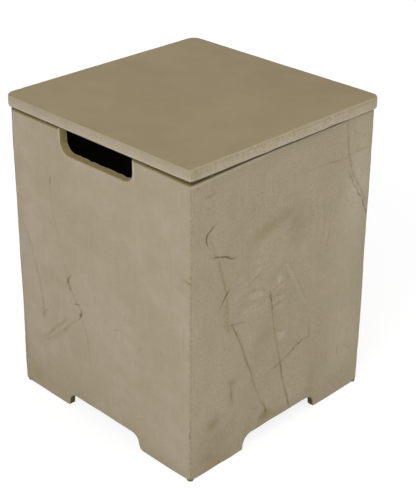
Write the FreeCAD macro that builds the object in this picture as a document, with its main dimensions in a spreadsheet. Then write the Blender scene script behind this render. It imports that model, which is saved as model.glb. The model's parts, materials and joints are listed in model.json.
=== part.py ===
import FreeCAD, Part
import Sketcher
import os
from FreeCAD import Placement, Rotation, Vector

# A square side table of cast artificial stone that hides a gas cylinder.
# A hollow one-piece box stands on four L-shaped corner feet, and a loose slab closes it as its lid.
# The frame: +Z is up, the origin is the centre of the footprint on the floor,
# the handle notches are in the front (-Y) and back (+Y) walls.

# Driving dimensions in millimetres: alias, value, what it is
SIZES = [
    ("table_width", 403.0, "the lid from edge to edge, both ways"),
    ("table_height", 510.0, "floor to the top of the lid"),
    ("lid_thick", 19.0, "thickness of the lid slab"),
    ("lid_overhang", 5.0, "how far the lid stands out past the box walls"),
    ("lid_corner", 9.0, "radius of the lid's upright corners"),
    ("lid_top_round", 3.0, "rounding of the lid's upper edge"),
    ("lid_low_round", 2.0, "rounding of the lid's lower edge"),
    ("lid_gap", 3.5, "open joint between the rim and the lid"),
    ("wall_thick", 13.0, "thickness of the four cast walls"),
    ("wall_corner", 4.0, "radius of the box's upright outer corners"),
    ("bay_corner", 12.0, "radius of the box's upright inner corners"),
    ("rim_round", 2.5, "rounding of the rim on the outside"),
    ("rim_ease", 1.5, "rounding of the rim on the inside"),
    ("base_round", 2.0, "rounding of the feet on the outside"),
    ("notch_width", 157.0, "handle notch, side to side"),
    ("notch_depth", 40.0, "handle notch, from the rim down"),
    ("notch_corner", 18.0, "radius of the handle notch's lower corners"),
    ("arch_width", 165.0, "foot arch, side to side"),
    ("arch_height", 24.0, "foot arch, from the underside of the feet up"),
    ("arch_corner", 18.0, "radius of the foot arch's upper corners"),
    ("cut_ease", 1.2, "rounding of the edges of the notches and arches"),
    ("foot_pad_across", 10.0, "diameter of the pads under the feet"),
    ("foot_pad_thick", 2.0, "thickness of the pads under the feet"),
    ("bumper_across", 9.0, "diameter of the bumpers between rim and lid"),
    ("bumper_inset", 46.0, "bumper centre from the box's side wall, along the rim"),
    ("pad_bevel", 0.5, "bevel on the exposed edge of pads and bumpers"),
    ("guide_leg", 50.0, "length of each leg of the corner guides"),
    ("guide_width", 12.0, "width of the corner guides"),
    ("guide_height", 15.0, "height of the corner guides"),
    ("guide_clear", 2.5, "play between the corner guides and the walls"),
    ("guide_ease", 1.0, "bevel on the guides' lower edges, which leads the lid on"),
    ("screw_inset", 12.0, "screw centre from the end of a guide's leg"),
    ("screw_shank", 4.0, "diameter of the screw shank"),
    ("screw_head", 7.6, "diameter of the screw head"),
    ("screw_head_tall", 2.2, "height of the screw head"),
    ("screw_socket", 2.5, "hexagon socket of the screw, across its flats"),
    ("screw_socket_deep", 1.3, "depth of the hexagon socket"),
    ("screw_play", 0.5, "how much wider the guide's hole is than the shank"),
    ("recess_play", 0.8, "how much wider the guide's recess is than the head"),
    ("recess_deep", 3.0, "depth of the recess for the screw head"),
    ("insert_across", 7.0, "hexagon insert, across its flats"),
    ("insert_cover", 7.0, "slab left above the inserts"),
    ("insert_end", 1.0, "closed end of the insert"),
    ("thread_play", 0.2, "how much wider the insert's bore is than the shank"),
    ("tip_clear", 1.0, "room between the screw's tip and the end of the bore"),
]

# Sizes that follow from the driving ones, as expressions on the sheet
LID_HALF = "Sizes.table_width / 2"
WALL_HALF = f"({LID_HALF} - Sizes.lid_overhang)"
BAY_HALF = f"({WALL_HALF} - Sizes.wall_thick)"
LID_UNDERSIDE = "(Sizes.table_height - Sizes.lid_thick)"
RIM_HEIGHT = f"({LID_UNDERSIDE} - Sizes.lid_gap)"
SHELL_HEIGHT = f"({RIM_HEIGHT} - Sizes.foot_pad_thick)"
WALL_MIDDLE = f"({WALL_HALF} - Sizes.wall_thick / 2)"
GUIDE_FACE = f"({BAY_HALF} - Sizes.guide_clear)"
GUIDE_BACK = f"({GUIDE_FACE} - Sizes.guide_width)"
GUIDE_MIDDLE = f"({GUIDE_FACE} - Sizes.guide_width / 2)"
GUIDE_END = f"({GUIDE_FACE} - Sizes.guide_leg)"
SCREW_ALONG = f"({GUIDE_END} + Sizes.screw_inset)"
SCREW_PLACES = [(SCREW_ALONG, GUIDE_MIDDLE), (GUIDE_MIDDLE, SCREW_ALONG)]
INSERT_LENGTH = "(Sizes.lid_thick - Sizes.insert_cover)"
BORE_DEPTH = f"({INSERT_LENGTH} - Sizes.insert_end)"
SHANK_LENGTH = f"(Sizes.guide_height - Sizes.recess_deep + {BORE_DEPTH} - Sizes.tip_clear)"
HEX_ROUND = "cos(30 deg)"

# The four corners in order round the table, each a quarter turn from the one before
CORNERS = ["back_right", "back_left", "front_left", "front_right"]
# How far a cutting outline runs past the edge that it opens
OVERSHOOT = "10"
# Two places closer than this are the same place
SAME = 1e-4


def make_sheet(doc):
    """The driving dimensions: plain numbers with an alias each."""
    sheet = doc.addObject("Spreadsheet::Sheet", "Sizes")
    for row, (alias, value, meaning) in enumerate(SIZES, start=1):
        sheet.set(f"A{row}", alias)
        sheet.set(f"B{row}", str(value))
        sheet.set(f"C{row}", meaning)
        sheet.setAlias(f"B{row}", alias)
    doc.recompute()


def new_body(doc, label, height, turn=0):
    """A body whose own origin lies on the table's axis at the given height, turned about that axis."""
    body = doc.addObject("PartDesign::Body", label)
    body.Label = label
    body.Placement = Placement(Vector(0, 0, 0), Rotation(Vector(0, 0, 1), turn))
    body.setExpression("Placement.Base.z", height)
    return body


def origin_feature(body, role):
    return next(f for f in body.Origin.OriginFeatures if f.Role == role)


def new_sketch(body, plane, name):
    sketch = body.newObject("Sketcher::SketchObject", name)
    sketch.AttachmentSupport = (origin_feature(body, plane), [""])
    sketch.MapMode = "FlatFace"
    return sketch


def bind(sketch, constraint, name, expression):
    """Adds a constraint under a name and ties its value to the sheet."""
    sketch.addConstraint(constraint)
    sketch.renameConstraint(sketch.ConstraintCount - 1, name)
    sketch.setExpression(f"Constraints.{name}", expression)


def number(feature, expression):
    return float(feature.evalExpression(expression))


def draw_outline(sketch, sides, radii):
    """A closed outline of upright and level sides, listed anticlockwise.

    Each side is ("x", expression) for an upright line at that x, or ("y", expression)
    for a level line at that y. The radius with the same index rounds the corner between
    that side and the next one, and None leaves it sharp.
    """
    count = len(sides)
    place = [number(sketch, expression) for _, expression in sides]
    corners = []
    for i, (kind, _) in enumerate(sides):
        after = place[(i + 1) % count]
        corners.append(Vector(place[i], after, 0) if kind == "x" else Vector(after, place[i], 0))
    trims = [0.0 if r is None else number(sketch, r) for r in radii]
    lines = []
    for i, (kind, expression) in enumerate(sides):
        start, end = corners[i - 1], corners[i]
        along = (end - start).normalize()
        line = Part.LineSegment(start + along * trims[i - 1], end - along * trims[i])
        lines.append(sketch.addGeometry(line, False))
        sketch.addConstraint(Sketcher.Constraint("Vertical" if kind == "x" else "Horizontal", lines[i]))
        distance = "DistanceX" if kind == "x" else "DistanceY"
        bind(sketch, Sketcher.Constraint(distance, -1, 1, lines[i], 1, place[i]), f"side_{i}", expression)
    for i, radius in enumerate(radii):
        join_sides(sketch, lines[i], lines[(i + 1) % count], corners[i], trims[i], radius, i)


def join_sides(sketch, first, second, corner, trim, radius, index):
    """A sharp corner, or an arc tangent to both of its lines."""
    if radius is None:
        sketch.addConstraint(Sketcher.Constraint("Coincident", first, 2, second, 1))
        return
    leave = sketch.getPoint(first, 2)
    enter = sketch.getPoint(second, 1)
    centre = leave + enter - corner
    middle = centre + (corner - centre).normalize() * trim
    arc = sketch.addGeometry(Part.Arc(leave, middle, enter), False)
    leave_end = 1 if (sketch.getPoint(arc, 1) - leave).Length < trim / 2 else 2
    sketch.addConstraint(Sketcher.Constraint("Tangent", first, 2, arc, leave_end))
    sketch.addConstraint(Sketcher.Constraint("Tangent", second, 1, arc, 3 - leave_end))
    bind(sketch, Sketcher.Constraint("Radius", arc, trim), f"radius_{index}", radius)


def draw_square(sketch, half, radius):
    """A square with rounded corners, centred on the sketch's origin."""
    sides = [("x", half), ("y", half), ("x", f"-{half}"), ("y", f"-{half}")]
    draw_outline(sketch, sides, [radius] * 4)


def draw_circle(sketch, across, x="0", y="0"):
    centre = Vector(number(sketch, x), number(sketch, y), 0)
    circle = sketch.addGeometry(Part.Circle(centre, Vector(0, 0, 1), number(sketch, across) / 2), False)
    bind(sketch, Sketcher.Constraint("Diameter", circle, number(sketch, across)), f"across_{circle}", across)
    bind(sketch, Sketcher.Constraint("DistanceX", -1, 1, circle, 3, centre.x), f"along_{circle}", x)
    bind(sketch, Sketcher.Constraint("DistanceY", -1, 1, circle, 3, centre.y), f"over_{circle}", y)


def pad(body, sketch, name, length):
    feature = body.newObject("PartDesign::Pad", name)
    feature.Profile = sketch
    feature.setExpression("Length", length)
    return settle(body, feature)


def pocket(body, sketch, name, length=None, both_ways=False, upward=False):
    """A cut of the given length, or right through where none is given. It has to remove something."""
    before = body.Shape.Volume
    feature = body.newObject("PartDesign::Pocket", name)
    feature.Profile = sketch
    feature.SideType = "Symmetric" if both_ways else "One side"
    feature.Reversed = upward
    if length is None:
        feature.Type = "ThroughAll"
    else:
        feature.setExpression("Length", length)
    settle(body, feature)
    if body.Shape.Volume >= before - 1e-3:
        raise RuntimeError(f"{body.Label}: {name} cuts nothing")
    return feature


def ease_edges(body, kind, name, size, wanted):
    """A Fillet or Chamfer on the edges that the test picks from the body's shape."""
    base = body.Tip
    names = [f"Edge{i}" for i, edge in enumerate(base.Shape.Edges, start=1) if wanted(edge)]
    feature = body.newObject(f"PartDesign::{kind}", name)
    feature.Base = (base, names)
    feature.setExpression("Radius" if kind == "Fillet" else "Size", size)
    return settle(body, feature)


def primitive(body, kind, name, across, height, x, y, z):
    """A PartDesign cylinder or hexagon prism that stands on the given point."""
    feature = body.newObject(f"PartDesign::{kind}", name)
    feature.AttachmentSupport = (origin_feature(body, "XY_Plane"), [""])
    feature.MapMode = "FlatFace"
    if kind.endswith("Prism"):
        feature.Polygon = 6
        feature.setExpression("Circumradius", f"{across} / 2 / {HEX_ROUND}")
    else:
        feature.setExpression("Radius", f"{across} / 2")
    feature.setExpression("Height", height)
    for axis, expression in (("x", x), ("y", y), ("z", z)):
        feature.setExpression(f"AttachmentOffset.Base.{axis}", expression)
    return settle(body, feature)


def repeat_round(body, features, name):
    """Repeats features at the four corners, by quarter turns about the table's axis."""
    pattern = body.newObject("PartDesign::PolarPattern", name)
    pattern.Originals = features
    pattern.Axis = (origin_feature(body, "Z_Axis"), [""])
    pattern.Angle = 360
    pattern.Occurrences = len(CORNERS)
    return settle(body, pattern)


def settle(body, feature):
    """Makes a feature the body's tip and works it out, so that the next one can read its shape."""
    body.Tip = feature
    body.Document.recompute()
    return feature


def level_at(height, half=None):
    """An edge test: the edge lies flat at this height and, if half is given, on that square's outline."""
    def test(edge):
        box = edge.BoundBox
        reach = max(abs(box.XMin), abs(box.XMax), abs(box.YMin), abs(box.YMax))
        flat = abs(box.ZMin - height) < SAME and abs(box.ZMax - height) < SAME
        return flat and (half is None or abs(reach - half) < SAME)
    return test


def shell_blank(doc):
    """The hollow square box: outer block, the bay through it and the rounded rim and feet."""
    body = new_body(doc, "body_shell", "Sizes.foot_pad_thick")
    sketch = new_sketch(body, "XY_Plane", "wall_outline")
    draw_square(sketch, WALL_HALF, "Sizes.wall_corner")
    block = pad(body, sketch, "walls", SHELL_HEIGHT)
    sketch = new_sketch(body, "XY_Plane", "bay_outline")
    draw_square(sketch, BAY_HALF, "Sizes.bay_corner")
    pocket(body, sketch, "bay", upward=True)
    top = number(block, SHELL_HEIGHT)
    outer = number(block, WALL_HALF)
    inner = number(block, BAY_HALF)
    ease_edges(body, "Fillet", "rim_outside", "Sizes.rim_round", level_at(top, outer))
    ease_edges(body, "Fillet", "rim_inside", "Sizes.rim_ease", level_at(top, inner))
    ease_edges(body, "Fillet", "base_outside", "Sizes.base_round", level_at(0, outer))
    return body


def cut_notches(body):
    """A handle notch in the front wall and one in the back wall, open at the rim."""
    sketch = new_sketch(body, "XZ_Plane", "notch_outline")
    half = "Sizes.notch_width / 2"
    floor = f"{SHELL_HEIGHT} - Sizes.notch_depth"
    above = f"{SHELL_HEIGHT} + {OVERSHOOT}"
    corner = "min(Sizes.notch_corner; Sizes.notch_depth - Sizes.rim_round)"
    sides = [("x", half), ("y", above), ("x", f"-{half}"), ("y", floor)]
    draw_outline(sketch, sides, [None, None, corner, corner])
    pocket(body, sketch, "notches", both_ways=True)


def cut_arches(body, plane, name):
    """The low arch between the feet, through a pair of opposite walls."""
    sketch = new_sketch(body, plane, f"{name}_outline")
    half = "Sizes.arch_width / 2"
    corner = "min(Sizes.arch_corner; Sizes.arch_height - Sizes.base_round)"
    sides = [("x", half), ("y", "Sizes.arch_height"), ("x", f"-{half}"), ("y", f"-{OVERSHOOT}")]
    draw_outline(sketch, sides, [corner, corner, None, None])
    pocket(body, sketch, name, both_ways=True)


def body_shell(doc):
    body = shell_blank(doc)
    cut_notches(body)
    cut_arches(body, "XZ_Plane", "front_back_arches")
    cut_arches(body, "YZ_Plane", "side_arches")
    outer = number(body, WALL_HALF)
    reach = max(number(body, "Sizes.notch_width"), number(body, "Sizes.arch_width")) / 2
    low = number(body, "Sizes.base_round")
    high = number(body, SHELL_HEIGHT) - number(body, "Sizes.rim_round")

    def on_cut(edge):
        """Edges of the notches and arches in the outer faces of the walls."""
        box = edge.BoundBox
        in_x_wall = abs(abs(box.XMin) - outer) < SAME and box.XLength < SAME
        in_y_wall = abs(abs(box.YMin) - outer) < SAME and box.YLength < SAME
        within = max(abs(v) for v in ((box.YMin, box.YMax) if in_x_wall else (box.XMin, box.XMax)))
        inside = within < reach + SAME and box.ZMin > low - SAME and box.ZMax < high + SAME
        return (in_x_wall or in_y_wall) and inside

    ease_edges(body, "Fillet", "cut_edges", "Sizes.cut_ease", on_cut)
    return body


def lid_slab(doc):
    """The loose slab, with hexagon sockets in its underside that the inserts fill."""
    body = new_body(doc, "lid_slab", LID_UNDERSIDE)
    sketch = new_sketch(body, "XY_Plane", "slab_outline")
    draw_square(sketch, LID_HALF, "Sizes.lid_corner")
    pad(body, sketch, "slab", "Sizes.lid_thick")
    top = number(body, "Sizes.lid_thick")
    ease_edges(body, "Fillet", "top_edge", "Sizes.lid_top_round", level_at(top))
    ease_edges(body, "Fillet", "low_edge", "Sizes.lid_low_round", level_at(0))
    sockets = []
    for i, (x, y) in enumerate(SCREW_PLACES):
        socket = primitive(body, "SubtractivePrism", f"insert_socket_{i}", "Sizes.insert_across",
                           INSERT_LENGTH, x, y, "0")
        sockets.append(socket)
    repeat_round(body, sockets, "insert_sockets")
    return body


def locator_guide(doc, corner, turn):
    """An L-shaped guide that keeps the lid centred: it hangs inside one corner of the bay."""
    body = new_body(doc, f"locator_guide_{corner}", f"{LID_UNDERSIDE} - Sizes.guide_height", turn)
    sketch = new_sketch(body, "XY_Plane", "guide_outline")
    sides = [("x", GUIDE_FACE), ("y", GUIDE_FACE), ("x", GUIDE_END),
             ("y", GUIDE_BACK), ("x", GUIDE_BACK), ("y", GUIDE_END)]
    round_corner = "max(Sizes.bay_corner - Sizes.guide_clear; Sizes.guide_ease)"
    draw_outline(sketch, sides, [round_corner, None, None, "Sizes.guide_ease", None, None])
    pad(body, sketch, "guide", "Sizes.guide_height")
    ease_edges(body, "Chamfer", "lead_in", "Sizes.guide_ease", level_at(0))
    for name, across, depth in (
        ("head_recesses", "Sizes.screw_head + Sizes.recess_play", "Sizes.recess_deep"),
        ("screw_holes", "Sizes.screw_shank + Sizes.screw_play", None),
    ):
        sketch = new_sketch(body, "XY_Plane", f"{name}_outline")
        for x, y in SCREW_PLACES:
            draw_circle(sketch, across, x, y)
        pocket(body, sketch, name, length=depth, upward=True)
    return body


def locator_screws(doc):
    """Button-head screws, two through each guide, heads seated in the guides' recesses."""
    seat = "Sizes.recess_deep"
    body = new_body(doc, "locator_screws", f"{LID_UNDERSIDE} - Sizes.guide_height")
    features = []
    for i, (x, y) in enumerate(SCREW_PLACES):
        head_low = f"{seat} - Sizes.screw_head_tall"
        features += [
            primitive(body, "AdditiveCylinder", f"head_{i}", "Sizes.screw_head",
                      "Sizes.screw_head_tall", x, y, head_low),
            primitive(body, "AdditiveCylinder", f"shank_{i}", "Sizes.screw_shank",
                      SHANK_LENGTH, x, y, seat),
            primitive(body, "SubtractivePrism", f"hex_socket_{i}", "Sizes.screw_socket",
                      "Sizes.screw_socket_deep", x, y, head_low),
        ]
    repeat_round(body, features, "screw_pattern")
    return body


def screw_inserts(doc):
    """Threaded hexagon inserts with closed ends, cast into the slab from below."""
    body = new_body(doc, "screw_inserts", LID_UNDERSIDE)
    features = []
    for i, (x, y) in enumerate(SCREW_PLACES):
        features += [
            primitive(body, "AdditivePrism", f"insert_{i}", "Sizes.insert_across",
                      INSERT_LENGTH, x, y, "0"),
            primitive(body, "SubtractiveCylinder", f"bore_{i}", "(Sizes.screw_shank + Sizes.thread_play)",
                      BORE_DEPTH, x, y, "0"),
        ]
    repeat_round(body, features, "insert_pattern")
    return body


def round_pad(doc, label, across, thick, height, x, y, turn=0):
    """A flat rubber disc with a bevelled lower edge."""
    body = new_body(doc, label, height, turn)
    sketch = new_sketch(body, "XY_Plane", "disc_outline")
    draw_circle(sketch, across, x, y)
    pad(body, sketch, "disc", thick)
    ease_edges(body, "Chamfer", "bevel", "Sizes.pad_bevel", level_at(0))
    return body


def foot_pad(doc, corner, turn):
    """Under one corner foot, in the middle of the wall's width."""
    return round_pad(doc, f"foot_pad_{corner}", "Sizes.foot_pad_across", "Sizes.foot_pad_thick",
                     "0", WALL_MIDDLE, WALL_MIDDLE, turn)


def lid_bumper(doc, corner, turn):
    """Stuck under the slab, it rests on the rim of a side wall near one corner."""
    right = 1 if corner.endswith("right") else -1
    back = 1 if corner.startswith("back") else -1
    x = f"{right} * {WALL_MIDDLE}"
    y = f"{back} * ({WALL_HALF} - Sizes.bumper_inset)"
    return round_pad(doc, f"lid_bumper_{corner}", "Sizes.bumper_across", "Sizes.lid_gap",
                     RIM_HEIGHT, x, y)


def check_document(doc, pieces):
    """Stops on any feature that failed, any loose sketch and any unsound solid."""
    for item in doc.Objects:
        if "Invalid" in item.State or "Error" in item.State:
            raise RuntimeError(f"{item.Label} failed: {item.State}")
        if item.TypeId == "Sketcher::SketchObject" and not item.FullyConstrained:
            raise RuntimeError(f"{item.Label} isn't fully constrained")
    for piece in pieces:
        if piece.Shape.isNull() or not piece.Shape.isValid() or not piece.Shape.Solids:
            raise RuntimeError(f"{piece.Label} has no sound solid")


def main():
    doc = FreeCAD.newDocument("tank_cover_table")
    make_sheet(doc)
    pieces = [body_shell(doc), lid_slab(doc), locator_screws(doc), screw_inserts(doc)]
    for quarter, corner in enumerate(CORNERS):
        turn = 90 * quarter
        pieces += [foot_pad(doc, corner, turn), locator_guide(doc, corner, turn), lid_bumper(doc, corner, turn)]
    doc.recompute()
    check_document(doc, pieces)
    os.makedirs("parts", exist_ok=True)
    for piece in pieces:
        piece.Shape.exportStep(f"parts/{piece.Label}.step")
        box = piece.Shape.BoundBox
        size = f"{box.XLength:.1f} x {box.YLength:.1f} x {box.ZLength:.1f} mm"
        print(f"{piece.Label}: {len(piece.Shape.Solids)} solid(s), {size}, z from {box.ZMin:.2f}")


main()
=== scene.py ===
# %% [markdown]
# # A cast stone cover table
# The real object is a hollow square box of cast artificial stone with a loose slab on top, made to stand
# over an upright gas cylinder. The CAD part already gives every size and place. What it can't give is the
# hand-made surface: brushed, stained and cracked, with worn edges. This script works those out as new
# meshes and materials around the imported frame, which it loads first.

import functools
import json
import math

import bpy
import numpy as np
from mathutils import Matrix, Vector

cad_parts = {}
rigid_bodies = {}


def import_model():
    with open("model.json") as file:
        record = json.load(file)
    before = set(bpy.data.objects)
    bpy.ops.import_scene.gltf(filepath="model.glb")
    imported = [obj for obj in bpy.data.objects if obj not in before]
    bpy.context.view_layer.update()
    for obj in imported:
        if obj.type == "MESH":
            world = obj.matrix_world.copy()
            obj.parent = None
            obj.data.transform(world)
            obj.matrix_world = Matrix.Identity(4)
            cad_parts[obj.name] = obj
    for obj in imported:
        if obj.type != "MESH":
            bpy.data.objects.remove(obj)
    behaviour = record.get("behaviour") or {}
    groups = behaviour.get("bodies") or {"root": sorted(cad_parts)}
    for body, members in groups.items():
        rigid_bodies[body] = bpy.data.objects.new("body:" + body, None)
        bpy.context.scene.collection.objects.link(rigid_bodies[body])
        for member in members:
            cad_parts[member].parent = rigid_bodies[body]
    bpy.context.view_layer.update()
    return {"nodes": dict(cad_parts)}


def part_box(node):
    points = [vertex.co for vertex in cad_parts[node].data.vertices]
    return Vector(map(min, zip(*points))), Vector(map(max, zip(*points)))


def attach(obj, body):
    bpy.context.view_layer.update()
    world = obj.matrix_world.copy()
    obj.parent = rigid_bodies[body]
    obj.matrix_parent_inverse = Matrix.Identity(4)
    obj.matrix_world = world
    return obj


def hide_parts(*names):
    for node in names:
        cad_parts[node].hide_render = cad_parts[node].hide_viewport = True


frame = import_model()
MM = 0.001

# %% [markdown]
# ## The camera
# The photograph was taken from a little above the lid, facing the edge between the front and the right
# wall. Its camera was worked out from the lid's and the box's edges, which are known in millimetres. The
# optical axis meets the picture a little above its middle, so the lens has a small shift, as a cropped
# product photograph has.

# %% Camera at the photograph's angle
PHOTO_TALL = 488
FOCAL_PIXELS = 1246.8
AXIS_ROW = 202
CAMERA_PLACE = (1.2593, -1.2421, 1.1671)
AZIMUTH, ELEVATION, ROLL = 44.607, 25.32, 0.531
SENSOR = 36.0

camera_data = bpy.data.cameras.new("photo_camera")
camera_data.sensor_width = SENSOR
camera_data.lens = FOCAL_PIXELS / PHOTO_TALL * SENSOR
camera_data.shift_y = -(PHOTO_TALL / 2 - AXIS_ROW) / PHOTO_TALL
camera = bpy.data.objects.new("photo_camera", camera_data)
bpy.context.scene.collection.objects.link(camera)
turn = (
    Matrix.Rotation(math.radians(AZIMUTH), 4, "Z")
    @ Matrix.Rotation(math.radians(90 - ELEVATION), 4, "X")
    @ Matrix.Rotation(math.radians(ROLL), 4, "Z")
)
camera.matrix_world = Matrix.Translation(CAMERA_PLACE) @ turn
bpy.context.scene.camera = camera
bpy.context.scene.view_settings.view_transform = "Standard"
print("lens", round(camera_data.lens, 1), "mm, shift", round(camera_data.shift_y, 3))

# %% [markdown]
# ## Shader maths in plain Python
# A stone finish mixes a dozen patterns. Drawn as single nodes it would be unreadable, so one small class
# wraps a node's output and turns + - * / into Math nodes, and one method adds any other node from its type,
# its settings and its inputs.


# %% A wire that can be used in a sum
class Wire:
    """One output of a node. Its signs add Math nodes to the same recipe, also with a number on the left."""

    def __init__(self, recipe, socket):
        self.recipe, self.socket = recipe, socket

    def maths(self, operation, first, second=0.0):
        return self.recipe.node("Math", {"operation": operation}, {0: first, 1: second})

    def __add__(self, other):
        return self.maths("ADD", self, other)

    def __sub__(self, other):
        return self.maths("SUBTRACT", self, other)

    def __rsub__(self, other):
        return self.maths("SUBTRACT", other, self)

    def __mul__(self, other):
        return self.maths("MULTIPLY", self, other)

    def __truediv__(self, other):
        return self.maths("DIVIDE", self, other)

    __radd__, __rmul__ = __add__, __mul__

    def size(self):
        return self.maths("ABSOLUTE", self)

    def most(self, other):
        return self.maths("MAXIMUM", self, other)

    def rise(self, low, high):
        """0 below low and 1 above high, with a smooth step between them. With low above high it falls."""
        edges = {"Value": self, "From Min": low, "From Max": high}
        return self.recipe.node("MapRange", {"interpolation_type": "SMOOTHSTEP"}, edges)


# %% A recipe that holds one material
def linear(*srgb):
    """A colour as a picture shows it, 0 to 255, turned into the linear colour that shaders use."""
    share = np.array(srgb) / 255
    low, high = share / 12.92, ((share + 0.055) / 1.055) ** 2.4
    return (*np.where(share <= 0.04045, low, high).tolist(), 1.0)


class Recipe:
    """The nodes of one new material, or of a world that is there already, added from code."""

    def __init__(self, name, owner=None):
        self.material = owner or bpy.data.materials.new(name)
        self.material.use_nodes = True
        self.tree = self.material.node_tree
        self.tree.nodes.clear()

    def node(self, kind, settings=None, inputs=None, output=0):
        """Adds a node, sets it up, then gives its inputs a number, a colour or another node's wire."""
        made = self.tree.nodes.new("ShaderNode" + kind)
        for name, value in (settings or {}).items():
            setattr(made, name, value)
        for name, value in (inputs or {}).items():
            if isinstance(value, Wire):
                self.tree.links.new(value.socket, made.inputs[name])
            else:
                made.inputs[name].default_value = value
        return Wire(self, made.outputs[output]) if made.outputs else None

    def place(self, stretch=(1, 1, 1)):
        """The point on the object, in metres, with each axis stretched."""
        spot = self.node("TexCoord", output="Object")
        return self.node("VectorMath", {"operation": "MULTIPLY"}, {0: spot, 1: stretch})

    def noise(self, scale, detail=3.0, stretch=(1, 1, 1), roughness=0.55, warp=0.0):
        """Smooth random pattern from 0 to 1 with about scale patches to the metre."""
        amounts = {"Scale": scale, "Detail": detail, "Roughness": roughness, "Distortion": warp}
        return self.node("TexNoise", {}, {"Vector": self.place(stretch), **amounts})

    def parts(self, name, count=3):
        """The first count of the three numbers that a mesh attribute holds at each point."""
        whole = self.node("Attribute", {"attribute_name": name}, output="Vector")
        return [self.node("SeparateXYZ", {}, {0: whole}, output=part) for part in range(count)]

    def mix(self, base, top, share):
        """Colour base with share of colour top over it."""
        setting = {"data_type": "RGBA", "clamp_factor": True}
        return self.node("Mix", setting, {0: share, 6: base, 7: top}, output=2)

    def coats(self, colour, layers):
        """Colour with each layer's top colour laid over it in turn, by the layer's share."""
        for top, share in layers:
            colour = self.mix(colour, top, share)
        return colour

    def shade(self, colour, factor):
        """Colour made lighter or darker by a factor."""
        start = colour if isinstance(colour, Wire) else colour[:3]
        return self.node("VectorMath", {"operation": "SCALE"}, {0: start, "Scale": factor})

    def bump(self, height, depth, strength=1.0):
        """Surface direction tilted by a height pattern, of which 1 stands for depth in metres."""
        return self.node("Bump", {}, {"Height": height, "Distance": depth, "Strength": strength})

    def finish(self, **sockets):
        """Closes the recipe with one Principled shader, given by its socket names."""
        inputs = {name.replace("_", " "): value for name, value in sockets.items()}
        shader = self.node("BsdfPrincipled", {}, inputs)
        self.node("OutputMaterial", {}, {"Surface": shader})
        return self.material


print("shader helpers ready; mid grey is", round(linear(128, 128, 128)[0], 3))

# %% [markdown]
# ## Floor, world and lamps
# A product photograph is lit by large soft boxes on a white sweep. Here the world gives even light, one
# large area lamp at the front left gives the front wall a little more light than the right one, and two
# weak lamps fill the right and the back. Only the camera, and mirror and glass rays, see the world and part
# of the floor as plain white, so nothing on the table is lit more for it and the floor keeps its shadow.
# The floor inside the box is left plain, up to where the photograph looks in under the two near arches, so
# that it is as dark as behind the hand hole of the real one.

# %% Floor and world
FLOOR_HALF = 6.0
WORLD_LIGHT = 0.47
DARK_SHIFT, DARK_FROM, DARK_TO = 0.022, 0.161, 0.171


def seen_directly(recipe):
    """1 for rays that come straight from the camera or by way of a mirror or glass, and 0 for the
    others."""
    kinds = ("Is Camera Ray", "Is Glossy Ray", "Is Transmission Ray")
    first, second, third = [recipe.node("LightPath", output=kind) for kind in kinds]
    return first.most(second).most(third)


corners = [(x * FLOOR_HALF, y * FLOOR_HALF, 0.0) for x, y in ((-1, -1), (1, -1), (1, 1), (-1, 1))]
floor_mesh = bpy.data.meshes.new("floor")
floor_mesh.from_pydata(corners, [], [(0, 1, 2, 3)])
floor = bpy.data.objects.new("floor", floor_mesh)
bpy.context.scene.collection.objects.link(floor)
sweep = Recipe("white_sweep")
paper_grain = 0.985 + 0.015 * sweep.noise(40)
paper_white = sweep.shade(linear(231, 231, 231), paper_grain)
matt = sweep.node("BsdfDiffuse", {}, {"Color": paper_white})
glow = sweep.node("Emission", {}, {"Color": (1, 1, 1, 1), "Strength": 1.2})
spot = sweep.node("TexCoord", output="Object")
sideways, deep = [sweep.node("SeparateXYZ", {}, {0: spot}, output=part) for part in range(2)]
from_bay = (sideways + DARK_SHIFT).size().most((deep - DARK_SHIFT).size())
open_floor = from_bay.rise(DARK_FROM, DARK_TO)
both = sweep.node("MixShader", {}, {0: 0.7 * seen_directly(sweep) * open_floor, 1: matt, 2: glow})
sweep.node("OutputMaterial", {}, {"Surface": both})
floor_mesh.materials.append(sweep.material)

world = bpy.data.worlds.new("studio")
bpy.context.scene.world = world
sky = Recipe("studio", world)
even = sky.node("Background", {}, {"Color": (1, 1, 1, 1), "Strength": WORLD_LIGHT})
white = sky.node("Background", {}, {"Color": (1, 1, 1, 1), "Strength": 1.0})
mixed = sky.node("MixShader", {}, {0: seen_directly(sky), 1: even, 2: white})
sky.node("OutputWorld", {}, {"Surface": mixed})
print("world light", WORLD_LIGHT)


# %% Lamps
def soft_box(name, place, aim, size, power):
    """An area lamp at place that faces aim, both in metres."""
    data = bpy.data.lights.new(name, "AREA")
    data.shape, data.size, data.energy = "DISK", size, power
    lamp = bpy.data.objects.new(name, data)
    bpy.context.scene.collection.objects.link(lamp)
    away = Vector(place) - Vector(aim)
    lamp.matrix_world = Matrix.Translation(place) @ away.to_track_quat("Z", "Y").to_matrix().to_4x4()


TABLE_MIDDLE = (0.0, 0.0, 0.25)
soft_box("key_lamp", (1.0, -2.4, 2.2), TABLE_MIDDLE, 1.6, 51)
soft_box("fill_lamp", (2.6, 1.2, 1.3), TABLE_MIDDLE, 1.4, 17)
soft_box("back_lamp", (-2.2, 2.1, 0.45), TABLE_MIDDLE, 0.9, 16)

# %% [markdown]
# ## Random but repeatable unevenness
# Hand-cast stone is never flat: it waves by a few tenths of a millimetre over a hand's width, and its edges
# are worn unevenly. A sum of cosine waves in seeded random directions gives such a height for whole arrays
# at once, and gives the same one in every run. Single marks fade out as bell curves.


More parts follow.
